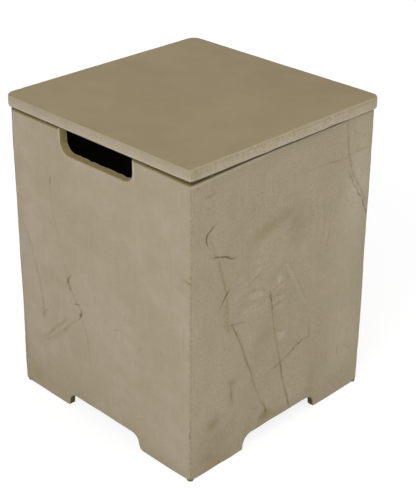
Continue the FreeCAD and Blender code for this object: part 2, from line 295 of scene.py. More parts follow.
# %% Smooth noise and a bell curve for shapes
def ripple(points, wavelength, seed, stretch=(1, 1, 1), waves=36):
    """Height of about -1 to 1 at each point: the sum of cosine waves of random heading, phase and a length
    between 0.7 and 1.6 times wavelength, divided by the square root of how many there are. A stretch below
    1 makes the pattern longer along that axis."""
    dice = np.random.default_rng(seed)
    heading = dice.normal(size=(waves, 3))
    heading /= np.linalg.norm(heading, axis=1, keepdims=True)
    pace = 2 * math.pi * heading * np.array(stretch) / (wavelength * dice.uniform(0.7, 1.6, (waves, 1)))
    phase = dice.uniform(0, 2 * math.pi, waves)
    return np.cos(points @ pace.T + phase).sum(-1) / math.sqrt(2 * waves)


def bell(gap, width):
    """Bell curve of a distance: e to the power of minus the square of gap over width."""
    return np.exp(-((gap / width) ** 2))


sample = ripple(np.random.default_rng(1).uniform(0, 0.4, (1000, 3)), 0.05, 3)
print("ripple spans", round(sample.min(), 2), "to", round(sample.max(), 2))

# %% [markdown]
# ## Strokes: cracks, veins and folds
# A crack is a line drawn on a wall. For each point of the mesh a stroke gives how far to one side of the
# line the point lies, and how strong the line is there. Both change evenly over the mesh, so a shader can
# draw a line much thinner than a mesh cell from them, while the same numbers cut a shallow groove into the
# shape. The alternative is to paint an image, which would blur and would need a file.


# %% Distance to a stroke
def smooth_line(points, rounds=2):
    """The open line with its corners cut twice: each run keeps its points at a quarter and three
    quarters."""
    line = np.array(points, float)
    for _ in range(rounds):
        near = 0.75 * line[:-1] + 0.25 * line[1:]
        far = 0.25 * line[:-1] + 0.75 * line[1:]
        inner = np.stack([near, far], 1).reshape(-1, line.shape[1])
        line = np.vstack([line[:1], inner, line[-1:]])
    return line


def stroke(points, across, up):
    """For points (across, up) of a wall in mm, and a line given as (across, up, strength) in mm: the
    distance from the line, signed by its side, the plain distance, and the line's strength there. On each
    run of the line the nearest point is the foot of the perpendicular, kept between the run's ends, and the
    nearest run counts. Past the line's ends the signed distance is the one from the end run made longer."""
    line = smooth_line(points)
    start, run = line[:-1, :2], np.diff(line[:, :2], axis=0)
    length = np.linalg.norm(run, axis=1)
    run /= length[:, None]
    before = np.concatenate([[0], np.cumsum(length)])
    gap = np.stack([across, up], -1)[:, None, :] - start
    along = (gap * run).sum(-1)
    kept = np.clip(along, 0, length)
    side = run[:, 0] * gap[..., 1] - run[:, 1] * gap[..., 0]
    plain = np.linalg.norm(gap - kept[..., None] * run, axis=-1)
    nearest = plain.argmin(1)
    row = np.arange(len(nearest))
    travel = before[nearest] + kept[row, nearest]
    beyond = np.abs(along - kept)[row, nearest]
    outside = ((nearest == 0) | (nearest == len(length) - 1)) & (beyond > 0)
    signed = np.where(side[row, nearest] < 0, -1, 1) * plain[row, nearest]
    signed = np.where(outside, side[row, nearest], signed)
    strength = np.interp(travel, before, line[:, 2])
    return signed, plain[row, nearest], strength


trial = stroke([(0, 0, 1), (100, 0, 1)], np.array([50.0]), np.array([3.0]))
print("a point 3 mm above a level line is", round(float(trial[0][0]), 2), "mm across it")

# %% [markdown]
# ## The plan of the wall
# Seen from above, the box is a rounded square outside and a rounder one inside. A wall point is given by
# its side, its place t along that side, its height z and its depth into the wall. Written so, one formula
# makes the outer face, the rim, the foot and the inner face, and the relief on the outer face is only a
# little more depth.

# %% Wall points
shell_low, shell_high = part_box("body_shell")
HALF, FOOT, RIM = shell_high.x, shell_low.z, shell_high.z
WALL, CORNER, BAY_CORNER = 13 * MM, 4 * MM, 12 * MM
STRAIGHT = HALF - CORNER
REACH = STRAIGHT + CORNER * math.pi / 4
FRONT, RIGHT, BACK, LEFT = range(4)
OUTWARD = np.array([(0, -1), (1, 0), (0, 1), (-1, 0)], float)
ALONG = np.array([(1, 0), (0, 1), (-1, 0), (0, -1)], float)


def plan(t, half, corner):
    """Place along a side and distance out from the middle, for a rounded square: straight as far as half
    less corner, then an eighth of a turn of that radius, spread over what is left of the side's reach."""
    straight = half - corner
    turned = np.clip((np.abs(t) - straight) / (REACH - straight), 0, 1) * math.pi / 4
    run = np.minimum(np.abs(t), straight) + corner * np.sin(turned)
    return np.sign(t) * run, straight + corner * np.cos(turned)


def wall_point(side, t, z, depth):
    """Points of the wall in metres: the outer plan moved towards the inner plan by depth over the wall."""
    outer_run, outer_out = plan(t, HALF, CORNER)
    inner_run, inner_out = plan(t, HALF - WALL, BAY_CORNER)
    share = depth / WALL
    run = outer_run + (inner_run - outer_run) * share
    out = outer_out + (inner_out - outer_out) * share
    flat = run[..., None] * ALONG[side] + out[..., None] * OUTWARD[side]
    return np.concatenate([flat, z[..., None]], -1)


print("side reach", round(REACH / MM, 2), "mm")

# %% [markdown]
# ## The line of foot and rim
# The foot of each wall has a low arch, and the rims of the front and back wall have a finger notch. Both
# are the same kind of opening: a level middle, a large hollow round, a short upright and a small round on
# the corner that sticks out. The mesh columns have to leave that line at a good angle, or cells would fold
# over at the uprights.


# %% Edge line with an opening
def opening_line(t, half, rise, hollow, nose):
    """For each column t of one side: the place (t, z) on its edge line and the direction into the stone.
    From the middle out, the line is level at height rise, turns down through a quarter round of radius
    hollow, drops, turns out through one of radius nose and goes on level at 0. Columns are handed out in
    steps of t, fewer on the drop."""
    bend = np.linspace(0, math.pi / 2, 25)
    first = np.stack([half - hollow + hollow * np.sin(bend), rise - hollow + hollow * np.cos(bend)])
    second = np.stack([half + nose - nose * np.cos(bend), nose - nose * np.sin(bend)])
    line = np.hstack([[[0], [rise]], first, second, [[REACH], [0]]])
    travel = np.concatenate([[0], np.cumsum(np.hypot(*np.diff(line)))])
    drop = rise - hollow - nose
    marks = travel[[0, 1, 25, 26, 50, 51]]
    after = half + 4 * MM
    columns = [0, half - hollow - 2 * MM, after, after + 0.35 * drop, after + 0.35 * drop + 3 * MM, REACH]
    wanted = np.interp(np.abs(t), columns, marks)
    place = [np.interp(wanted, travel, row) for row in line]
    ahead = [np.interp(wanted + 0.3 * MM, travel, row) for row in line]
    behind = [np.interp(wanted - 0.3 * MM, travel, row) for row in line]
    slope = np.array(ahead) - np.array(behind)
    slope /= np.hypot(*slope)
    return np.sign(t) * place[0], place[1], -np.sign(t) * slope[1], slope[0]


def level_line(t):
    """The same for a wall with no opening: level at 0, with the stone straight above it."""
    return t, np.zeros_like(t), np.zeros_like(t), np.ones_like(t)


arch = opening_line(np.array([0.0, 0.07, 0.085, 0.09, 0.15]), 82.5 * MM, 24 * MM, 18 * MM, 2.5 * MM)
print("arch heights in mm at five columns:", np.round(arch[1] / MM, 1))

# %% [markdown]
# ## Where the mesh is fine
# The cracks and scraped ridges of the right wall need cells of about 2 mm. The plain back can do with 6 mm.
# A density along each side and up the wall puts the mesh lines where the detail is, and keeps the piece
# small.


# %% Columns and rows
def spread(ranges, low, high):
    """Mesh places between low and high: ranges are (from, to, spacing), the first that holds a point
    counts, and the places lie at equal steps of the summed density, which is one over the spacing."""
    fine = np.linspace(low, high, 4001)
    spacing = np.select([(fine >= a) & (fine <= b) for a, b, _ in ranges], [s for *_, s in ranges])
    total = np.concatenate([[0], np.cumsum(np.diff(fine) / spacing[1:])])
    count = int(round(total[-1]))
    return count, lambda steps: np.interp(np.array(steps) / count * total[-1], total, fine)


def side_columns(middle, opening, plain):
    """Column places of one side in metres, at half steps so that neighbouring sides share no column. The
    corners are finest, then come the given middle ranges, the ends of arch and notch, and what is left."""
    ranges = [(-200, -192.5, 1.05), (192.5, 200, 1.05), *middle]
    ranges += [(-97, -55, opening), (55, 97, opening), (-200, 200, plain)]
    count, place = spread(ranges, -REACH / MM, REACH / MM)
    return place(np.arange(count) + 0.5) * MM


columns = [
    side_columns([(-82, -38, 2.0)], opening=1.9, plain=4.2),
    side_columns([(-135, 55, 1.75)], opening=1.9, plain=3.5),
    side_columns([], opening=3.2, plain=6.2),
    side_columns([], opening=3.2, plain=6.2),
]
side = np.repeat(np.arange(4), [len(places) for places in columns])
tau = np.concatenate(columns)
FACE_TALL = 485
row_ranges = [
    (0, 0.055, 2.6), (0.055, 0.355, 4.9), (0.355, 0.675, 1.95), (0.675, 0.87, 4.9), (0.87, 0.98, 3.1),
    (0.98, 1, 1.4),
]
row_count, row_place = spread([(a, b, s / FACE_TALL) for a, b, s in row_ranges], 0, 1)
share_up = row_place(np.arange(row_count + 1))
print("columns by side:", [len(places) for places in columns], "rows up the face:", len(share_up))

# %% [markdown]
# ## Marks on the walls
# The photograph shows where the casting has cracked, chipped and been scraped. Each mark is a line of a few
# points in millimetres on its wall, as (across, up, strength). The two walls that the photograph hides get
# marks of the same kind, so that the table looks as real from behind. Marks that come close together are
# kept in different layers, because a mesh point can hold the distance to only one line of a layer.

# %% Cracks
LEFT_CRACK = [
    (-113, 237, 0.35), (-106, 224, 0.42), (-98.4, 210, 0.45), (-92, 196, 0.28), (-87, 182, 0.2),
    (-82, 168, 0.36), (-75.4, 151, 0.38), (-67.7, 136, 0.34), (-63.8, 118, 0.3), (-57.4, 103, 0.12),
    (-51, 87, 0.1), (-42, 70, 0.3), (-35, 60, 0.55), (-33, 50, 0.5),
]
MIDDLE_CRACK = [
    (-31, 257, 0.55), (-28.5, 247, 0.6), (-26.5, 237, 0.35), (-24, 217, 0.3), (-21, 199, 0.22),
    (-17, 181, 0.3), (-12, 161, 0.24), (-8, 143, 0.22), (-3, 126, 0.6), (0.5, 107, 0.5), (3, 90, 0.36),
    (8, 77, 0.24), (11, 66, 0.5), (16, 54, 0.55), (20, 38, 0.5), (22, 28, 0.2),
]
FAR_CRACK = [
    (131, 486, 0.3), (132, 458, 0.36), (137, 436, 0.42), (142, 420, 0.45), (144.5, 409, 0.45),
    (150, 393, 0.4), (159, 381, 0.36), (170, 365, 0.36), (181, 350, 0.4), (190, 334, 0.4),
]
FRONT_CRACK = [
    (-183, 305, 0.15), (-175, 290, 0.22), (-162, 270, 0.2), (-155, 252, 0.16), (-149, 228, 0.2),
    (-141, 206, 0.16), (-138, 178, 0.18), (-138, 148, 0.25),
]
CRACKS = {
    "crack_a": {
        FRONT: [
            [(-107.5, 397, 0.3), (-107, 389, 0.2)],
            [(-69, 244, 0.6), (-74, 236, 0.7), (-78, 229, 0.25)],
            [(-41, 175, 0.22), (-33, 163, 0.16), (-30.5, 141, 0.26), (-30, 128, 0.22), (-26, 113, 0.06)],
        ],
        RIGHT: [
            [(-149, 411, 0.5), (-157.5, 406.5, 0.85), (-164, 401, 1), (-166.5, 395, 1), (-166, 388.5, 0.8),
             (-162.5, 382, 0.4)],
            LEFT_CRACK,
        ],
        BACK: [
            [(-128, 470, 0.3), (-122, 430, 0.4), (-104, 392, 0.45), (-99, 345, 0.35), (-78, 301, 0.5),
             (-70, 262, 0.3), (-74, 221, 0.2), (-58, 180, 0.12)],
        ],
        LEFT: [
            [(96, 452, 0.25), (88, 410, 0.4), (70, 372, 0.5), (64, 330, 0.35), (41, 286, 0.45),
             (36, 248, 0.35), (18, 201, 0.3), (14, 160, 0.3), (-6, 116, 0.4), (-12, 74, 0.3)],
        ],
    },
    "crack_b": {
        FRONT: [
            FRONT_CRACK,
            [(-62, 199, 0.35), (-55, 201.5, 0.8), (-50, 203, 0.55)],
        ],
        RIGHT: [
            [(-161, 367, 0.3), (-155, 361.5, 0.35), (-146.5, 360, 0.9), (-137, 356.5, 1), (-126, 353.5, 1),
             (-119, 348.5, 0.7), (-112, 345, 0.6), (-104, 345, 0.15)],
            MIDDLE_CRACK,
            FAR_CRACK,
        ],
        BACK: [
            [(52, 330, 0.4), (74, 318, 0.7), (98, 322, 0.4), (121, 309, 0.2)],
        ],
        LEFT: [
            [(-150, 402, 0.2), (-141, 368, 0.35), (-118, 331, 0.3), (-112, 290, 0.2)],
        ],
    },
    "crack_c": {
        FRONT: [
            [(-49, 178, 0.6), (-45.5, 185, 1), (-42, 192, 0.8), (-46, 198, 0.3)],
            [(-81, 162, 0.16), (-104, 138, 0.2), (-124, 119, 0.2), (-150, 96, 0.12)],
            [(184, 336.5, 0.3), (192, 335.5, 0.7)],
        ],
        RIGHT: [
            [(-123.5, 293, 1), (-127, 289, 1), (-132.5, 282, 0.5), (-137, 275, 0.4)],
            [(-114, 236.5, 0.45), (-104, 234.5, 0.4), (-90, 232.5, 0.34), (-79, 228, 0.1)],
            [(-36, 117, 0.1), (-21, 120.5, 0.3), (-4, 124, 0.75), (12, 129.5, 0.4), (28, 137, 0.6),
             (46, 144, 0.75), (63, 144.5, 0.2)],
            [(142, 398, 0.4), (146, 389, 0.6), (150, 386, 0.3), (152, 377, 0.8), (158, 371, 0.7),
             (163, 366, 0.4), (165, 357, 0.75), (172, 351, 0.6), (178, 345, 0.4), (181, 336, 1),
             (186, 325, 0.5), (192, 316, 0.5)],
            [(39, 431, 0.06), (77, 432, 0.16), (87, 429.5, 0.26), (113, 428, 0.24), (136, 427, 0.16),
             (153, 430, 0.3), (165, 431, 0.3), (184, 429.5, 0.2)],
        ],
        BACK: [
            [(-99, 345, 0.5), (-82, 341, 0.7), (-60, 346, 0.3)],
        ],
        LEFT: [
            [(38, 250, 0.4), (16, 246, 0.6), (-9, 251, 0.4)],
        ],
    },
    "crack_d": {
        FRONT: [
            [(181, 252, 0.2), (181.5, 240, 0.3), (181, 230, 0.15)],
            [(31, 192, 0.2), (36, 196, 0.35), (40, 197, 0.2)],
            [(34, 182, 0.3), (38, 190, 0.2)],
            [(88, 183, 0.35), (93, 187, 0.25)],
            [(-57, 172, 0.14), (-84, 148, 0.22), (-108, 126, 0.22), (-136, 103, 0.14)],
            [(-140, 150, 0.3), (-131, 160, 0.3), (-124, 167, 0.15)],
        ],
        RIGHT: [
            [(62, 176, 0.12), (64, 151, 0.35), (62.5, 140, 0.3)],
            [(98, 92, 0.3), (99.5, 82, 0.3)],
            [(107, 93, 0.3), (108.5, 80, 0.34)],
            [(136, 90, 0.34), (137, 81, 0.34)],
            [(156, 87, 0.3), (164, 81, 0.35)],
            [(-104, 85, 0.14), (-107, 76, 0.2), (-104, 66, 0.12)],
            [(127, 388, 0.1), (119, 365, 0.16), (109, 338, 0.18), (99, 305, 0.16), (92, 285, 0.12)],
            [(-113, 138, 0.12), (-112, 126, 0.45), (-111, 114, 0.4), (-108, 98, 0.12)],
            [(-167, 458.5, 0.35), (-158, 457.5, 0.4), (-150, 458.5, 0.2)],
            [(-161, 384, 0.15), (-160, 370, 0.2), (-153, 361, 0.25)],
        ],
        BACK: [
            [(20, 214, 0.15), (48, 176, 0.25), (70, 131, 0.2), (96, 98, 0.12)],
        ],
        LEFT: [
            [(-60, 221, 0.15), (-88, 180, 0.25), (-97, 139, 0.2)],
        ],
    },
}
NEAR_MARK = 14.0


def crack_layer(table, side, across, up):
    """Two numbers for each point: the distance to one side of its nearest line in mm, and the line's
    strength, which fades to 0 with the square of the distance, so that nothing shows where two lines' areas
    meet."""
    distance, shown = np.full(side.shape, NEAR_MARK), np.zeros(side.shape)
    for wall, lines in table.items():
        here = side == wall
        nearest = distance[here]
        for line in lines:
            signed, plain, strength = stroke(line, across[here], up[here])
            close = plain < nearest
            distance[here] = np.where(close, signed, distance[here])
            shown[here] = np.where(close, strength * (1 - plain / NEAR_MARK) ** 2, shown[here])
            nearest = np.minimum(plain, nearest)
    return distance, shown


print("crack lines:", {layer: sum(map(len, table.values())) for layer, table in CRACKS.items()})

# %% [markdown]
# ## Veins, folds and patches
# The stain has run along the old cracks as soft veins, a few millimetres wide. Between the two long cracks
# of the right wall the stone was scraped while soft, which left low ridges, with a strength above 0, and
# grooves, with one below 0; the recipe also paints the ridges lighter and the grooves darker, as painted
# light and shade. Veins and folds are lines with a half width in front. Stains are soft patches,
# each with its middle across and up, its two half widths, its angle in degrees and its amount. All three
# are simple bell curves of a distance.

# %% Veins
VEINS = {
    FRONT: [
        (2.6, [(-107.5, 399, 0.8), (-107.5, 388, 0.6), (-107, 365, 0.5), (-103, 340, 0.3), (-98, 322, 0.5),
               (-86, 285, 0.3), (-82, 262, 0.35), (-74, 240, 0.6), (-66, 222, 0.6), (-58, 209, 0.7),
               (-47, 196, 0.6)]),
        (2.6, [(-62, 213, 0.5), (-52, 221, 0.4)]),
        (2.6, [(-43, 176, 0.5), (-33, 163, 0.4), (-30.5, 140, 0.5), (-26, 113, 0.3), (-14, 78, 0.2)]),
        (3.4, [(-187, 306, 0.4), (-168, 281, 0.5), (-161, 250, 0.5), (-152, 228, 0.6), (-146, 212, 0.6),
               (-142, 185, 0.45), (-138.5, 160, 0.7), (-138, 148, 0.8)]),
        (3.0, [(-57, 172, 0.5), (-73, 158, 0.6), (-84, 145, 0.75), (-96, 130, 0.6), (-112, 118, 0.7),
               (-131, 106, 0.5), (-150, 94, 0.2)]),
        (3.0, [(-84, 164, 0.5), (-94, 150, 0.7), (-108, 142, 0.6), (-114, 133, 0.8), (-130, 115, 0.7),
               (-153, 102, 0.4)]),
        (3.0, [(-129, 91, 0.5), (-130, 74, 0.4), (-128, 56, 0.2)]),
    ],
    RIGHT: [
        (4.2, [(-157, 404, 0.5), (-159, 395, 0.5), (-155, 383, 0.5), (-150.5, 370, 0.55),
               (-148, 362, 0.5)]),
        (2.9, [(-142, 351, 0.9), (-137, 335, 0.9), (-132.5, 319, 0.85), (-128, 303, 0.8),
               (-125, 294, 0.8)]),
        (4.4, [(-124, 284, 0.6), (-123, 265, 0.75), (-123, 246, 0.75), (-121, 233, 0.75),
               (-115, 222, 0.4)]),
        (1.4, [(-129, 274, 0.8), (-129, 252, 0.7), (-127, 237, 0.9)]),
        (3.3, [(-113, 237, 0.7), (-106, 224, 0.75), (-98.4, 210, 0.75), (-92, 196, 0.75), (-87, 182, 0.8),
               (-82, 168, 0.8), (-75.4, 151, 0.75), (-67.7, 136, 0.8), (-63.8, 118, 0.8), (-57.4, 103, 0.6),
               (-51, 87, 0.4), (-42, 70, 0.6), (-33, 50, 0.8)]),
        (2.3, [(-31, 257, 0.9), (-26.5, 237, 0.9), (-24, 217, 0.6), (-17, 181, 0.6), (-8, 143, 0.6),
               (-3, 126, 0.8), (0.5, 107, 0.8), (8, 77, 0.5), (12, 66, 0.7), (20, 38, 0.8)]),
        (2.6, [(131, 486, 0.6), (137, 436, 0.75), (144.5, 409, 0.8), (159, 381, 0.75), (186, 340, 0.85)]),
        (2.2, [(60, 112, 0.3), (58, 84, 0.4), (62, 60, 0.4)]),
        (1.8, [(-36, 117, 0.2), (-4, 124, 0.5), (24, 135, 0.7), (46, 143, 0.6), (60, 141, 0.3)]),
        (2.2, [(52, 141, 0.3), (53, 110, 0.3), (50, 84, 0.2)]),
        (3.0, [(-114, 347, 0.3), (-96, 347, 0.35), (-70, 350, 0.3), (-50, 352, 0.15)]),
        (2.0, [(39, 432, 0.2), (87, 430, 0.6), (136, 427, 0.5), (160, 431, 0.7), (184, 430, 0.5)]),
        (2.6, [(33, 426, 0.1), (64, 418, 0.3), (77, 415, 0.3), (100, 405, 0.1)]),
        (2.0, [(-179, 452, 0.2), (-172, 430, 0.35), (-165, 412, 0.3)]),
    ],
    BACK: [
        (2.4, [(-128, 470, 0.4), (-104, 392, 0.6), (-99, 345, 0.6), (-78, 301, 0.6), (-72, 240, 0.4),
               (-58, 180, 0.2)]),
    ],
    LEFT: [
        (2.4, [(96, 452, 0.4), (70, 372, 0.6), (41, 286, 0.6), (18, 201, 0.5), (-6, 116, 0.5),
               (-12, 74, 0.4)]),
    ],
}

# %% Folds
FOLDS = {
    FRONT: [
        (3.0, [(-60, 184, -0.3), (-52, 190, -0.5), (-42, 178, -0.5)]),
        (2.6, [(-66, 164, 0.5), (-84, 152, 0.8), (-100, 138, 0.8), (-118, 122, 0.7), (-134, 110, 0.4)]),
        (2.4, [(-152, 244, 0.6), (-148, 228, 0.7), (-144, 214, 0.4)]),
    ],
    RIGHT: [
        (2.6, [(-91, 288, 0.3), (-75, 296, 0.8), (-62, 303, 1), (-50, 309, 1), (-43, 307, 0.4)]),
        (2.6, [(-84, 317, 0.5), (-62, 321, 0.7), (-48, 325, 0.3)]),
        (2.4, [(-119, 299, 0.3), (-98, 301, 0.6), (-88, 305, 0.3)]),
        (2.4, [(-116, 277, 0.3), (-96, 281, 0.7), (-82, 283, 0.3)]),
        (2.8, [(-93, 242, 0.5), (-83, 246, 0.9), (-74, 250, 1), (-62, 250.5, 0.4)]),
        (2.8, [(-69, 243, 0.7), (-55, 241, 0.8), (-43, 242, 0.4)]),
        (2.6, [(-112, 262, 0.3), (-96, 266, 0.7), (-86, 268, 0.4)]),
        (2.4, [(-86, 231, 0.3), (-68, 233, 0.5), (-50, 231, 0.3)]),
        (2.8, [(-22, 238, 0.8), (-10, 240, 1), (0, 241, 0.8)]),
        (2.6, [(-20, 254, 0.4), (-6, 259, 0.7), (4, 264, 0.4)]),
        (2.4, [(-20, 268, 0.4), (-8, 272, 0.8), (4, 276, 0.5)]),
        (2.6, [(-18, 283, 0.4), (-6, 285, 0.7), (4, 290, 0.4)]),
        (3.0, [(4, 294, 0.5), (8, 284, 0.8), (13, 277, 0.9), (20, 268, 1), (26, 254, 0.9), (32, 239, 0.9),
               (38, 230, 0.8), (44, 222, 0.8), (50, 209, 0.6), (55, 194, 0.4)]),
        (2.6, [(20, 186, 0.5), (33, 178, 0.8), (47, 171, 0.5)]),
        (2.4, [(-80, 203, 0.5), (-71, 200, 0.9), (-68, 193, 0.5), (-76, 185, 0.8), (-68, 177, 0.9),
               (-62, 167, 0.5)]),
        (2.4, [(-56, 190, 0.4), (-48, 197, 0.6), (-38, 201, 0.3)]),
        (2.4, [(30, 154, 0.5), (44, 151, 0.8), (56, 152, 0.5)]),
        (2.4, [(60, 384, 0.5), (66, 352, 0.7), (64, 320, 0.4)]),
        (2.4, [(77, 374, 0.5), (83, 342, 0.7), (80, 312, 0.4)]),
        (2.4, [(92, 362, 0.5), (96, 330, 0.6), (93, 304, 0.4)]),
        (2.4, [(113, 380, 0.4), (107, 350, 0.6), (101, 326, 0.4)]),
        (2.4, [(124, 330, 0.3), (118, 300, 0.5), (116, 280, 0.3)]),
        (3.0, [(-56, 339, 0.8), (-50, 334, 0.8)]),
        (2.2, [(-34, 347, 0.3), (-26, 341, 0.7), (-14, 340, 0.3)]),
        (2.2, [(-80, 372, 0.3), (-62, 378, 0.5), (-48, 380, 0.2)]),
        (2.2, [(146, 440, 0.4), (152, 412, 0.7), (160, 396, 0.4)]),
        (2.2, [(138, 396, 0.4), (146, 378, 0.7), (158, 362, 0.4)]),
        (2.2, [(-96, 274, -0.5), (-77, 277, -0.9), (-59, 275, -0.9), (-44, 268, -0.9), (-33, 257, -0.7)]),
        (2.2, [(-93, 252, -0.4), (-74, 257, -0.8), (-50, 256, -0.9), (-32, 254, -0.8)]),
        (2.2, [(-88, 284, -0.4), (-70, 293, -0.8), (-56, 298, -0.9), (-44, 300, -0.5)]),
        (2.0, [(-100, 311, -0.3), (-78, 312, -0.7), (-54, 315, -0.4)]),
        (2.2, [(-27, 250, -0.7), (-15, 247.5, -0.9), (-4, 247, -1), (8, 251, -0.7)]),
        (2.2, [(-22, 231.5, -0.8), (-10, 233, -1), (2, 235, -0.8)]),
        (2.0, [(-18, 263, -0.4), (-4, 266, -0.7), (8, 270, -0.5)]),
        (2.2, [(12, 291, -0.5), (20, 278, -0.6), (29, 262, -0.7), (37, 245, -0.6), (46, 229, -0.6),
               (54, 213, -0.4)]),
        (2.0, [(-2, 292, -0.3), (6, 275, -0.6), (16, 258, -0.6), (24, 242, -0.4)]),
        (2.0, [(-62, 222, -0.4), (-40, 226, -0.6), (-30, 228, -0.3)]),
        (2.2, [(66, 386, -0.5), (73, 350, -0.8), (71, 320, -0.5)]),
        (2.2, [(84, 366, -0.5), (90, 335, -0.8), (86, 304, -0.6)]),
        (2.2, [(104, 342, -0.5), (99, 310, -0.8), (97, 282, -0.6)]),
        (2.2, [(117, 322, -0.6), (109, 302, -0.7)]),
        (2.2, [(53, 352, -0.4), (57, 320, -0.7), (55, 300, -0.4)]),
        (2.2, [(-72, 428, -0.6), (-70, 412, -0.8), (-69, 396, -0.6), (-67, 382, -0.3)]),
        (2.0, [(-66, 430, -0.5), (-53, 428, -0.6)]),
        (2.0, [(-31, 426, -0.6), (-24, 420, -0.6)]),
        (2.0, [(-20, 412, -0.6), (-28, 403, -0.6)]),
        (2.0, [(-13, 427, -0.5), (-11, 414, -0.5)]),
        (2.2, [(-9, 459, -0.7), (-4, 457, -0.7)]),
        (2.0, [(149, 452, -0.4), (145, 418, -0.8), (156, 388, -0.7), (169, 369, -0.6), (181, 352, -0.7)]),
        (2.0, [(-156, 440, -0.4), (-150, 428, -0.5), (-154, 416, -0.3)]),
        (2.2, [(158, 94, -0.4), (166, 84, -0.6), (173, 79, -0.4)]),
        (2.2, [(62, 53, -0.4), (63, 38, -0.8)]),
    ],
    BACK: [
        (2.6, [(30, 262, 0.4), (54, 274, 0.9), (80, 278, 0.5)]),
        (2.4, [(28, 253, -0.4), (56, 265, -0.8), (84, 269, -0.4)]),
    ],
    LEFT: [
        (2.8, [(-40, 300, 0.4), (-12, 306, 0.9), (14, 309, 0.5)]),
        (2.8, [(-44, 287, 0.5), (-14, 291, 1), (16, 296, 0.6)]),
        (2.8, [(-42, 274, 0.5), (-12, 279, 0.9), (20, 281, 0.5)]),
        (2.4, [(-42, 293, -0.5), (-13, 298, -0.9), (15, 302, -0.5)]),
        (2.4, [(-38, 266, -0.4), (-10, 270, -0.8), (18, 273, -0.4)]),
    ],
}

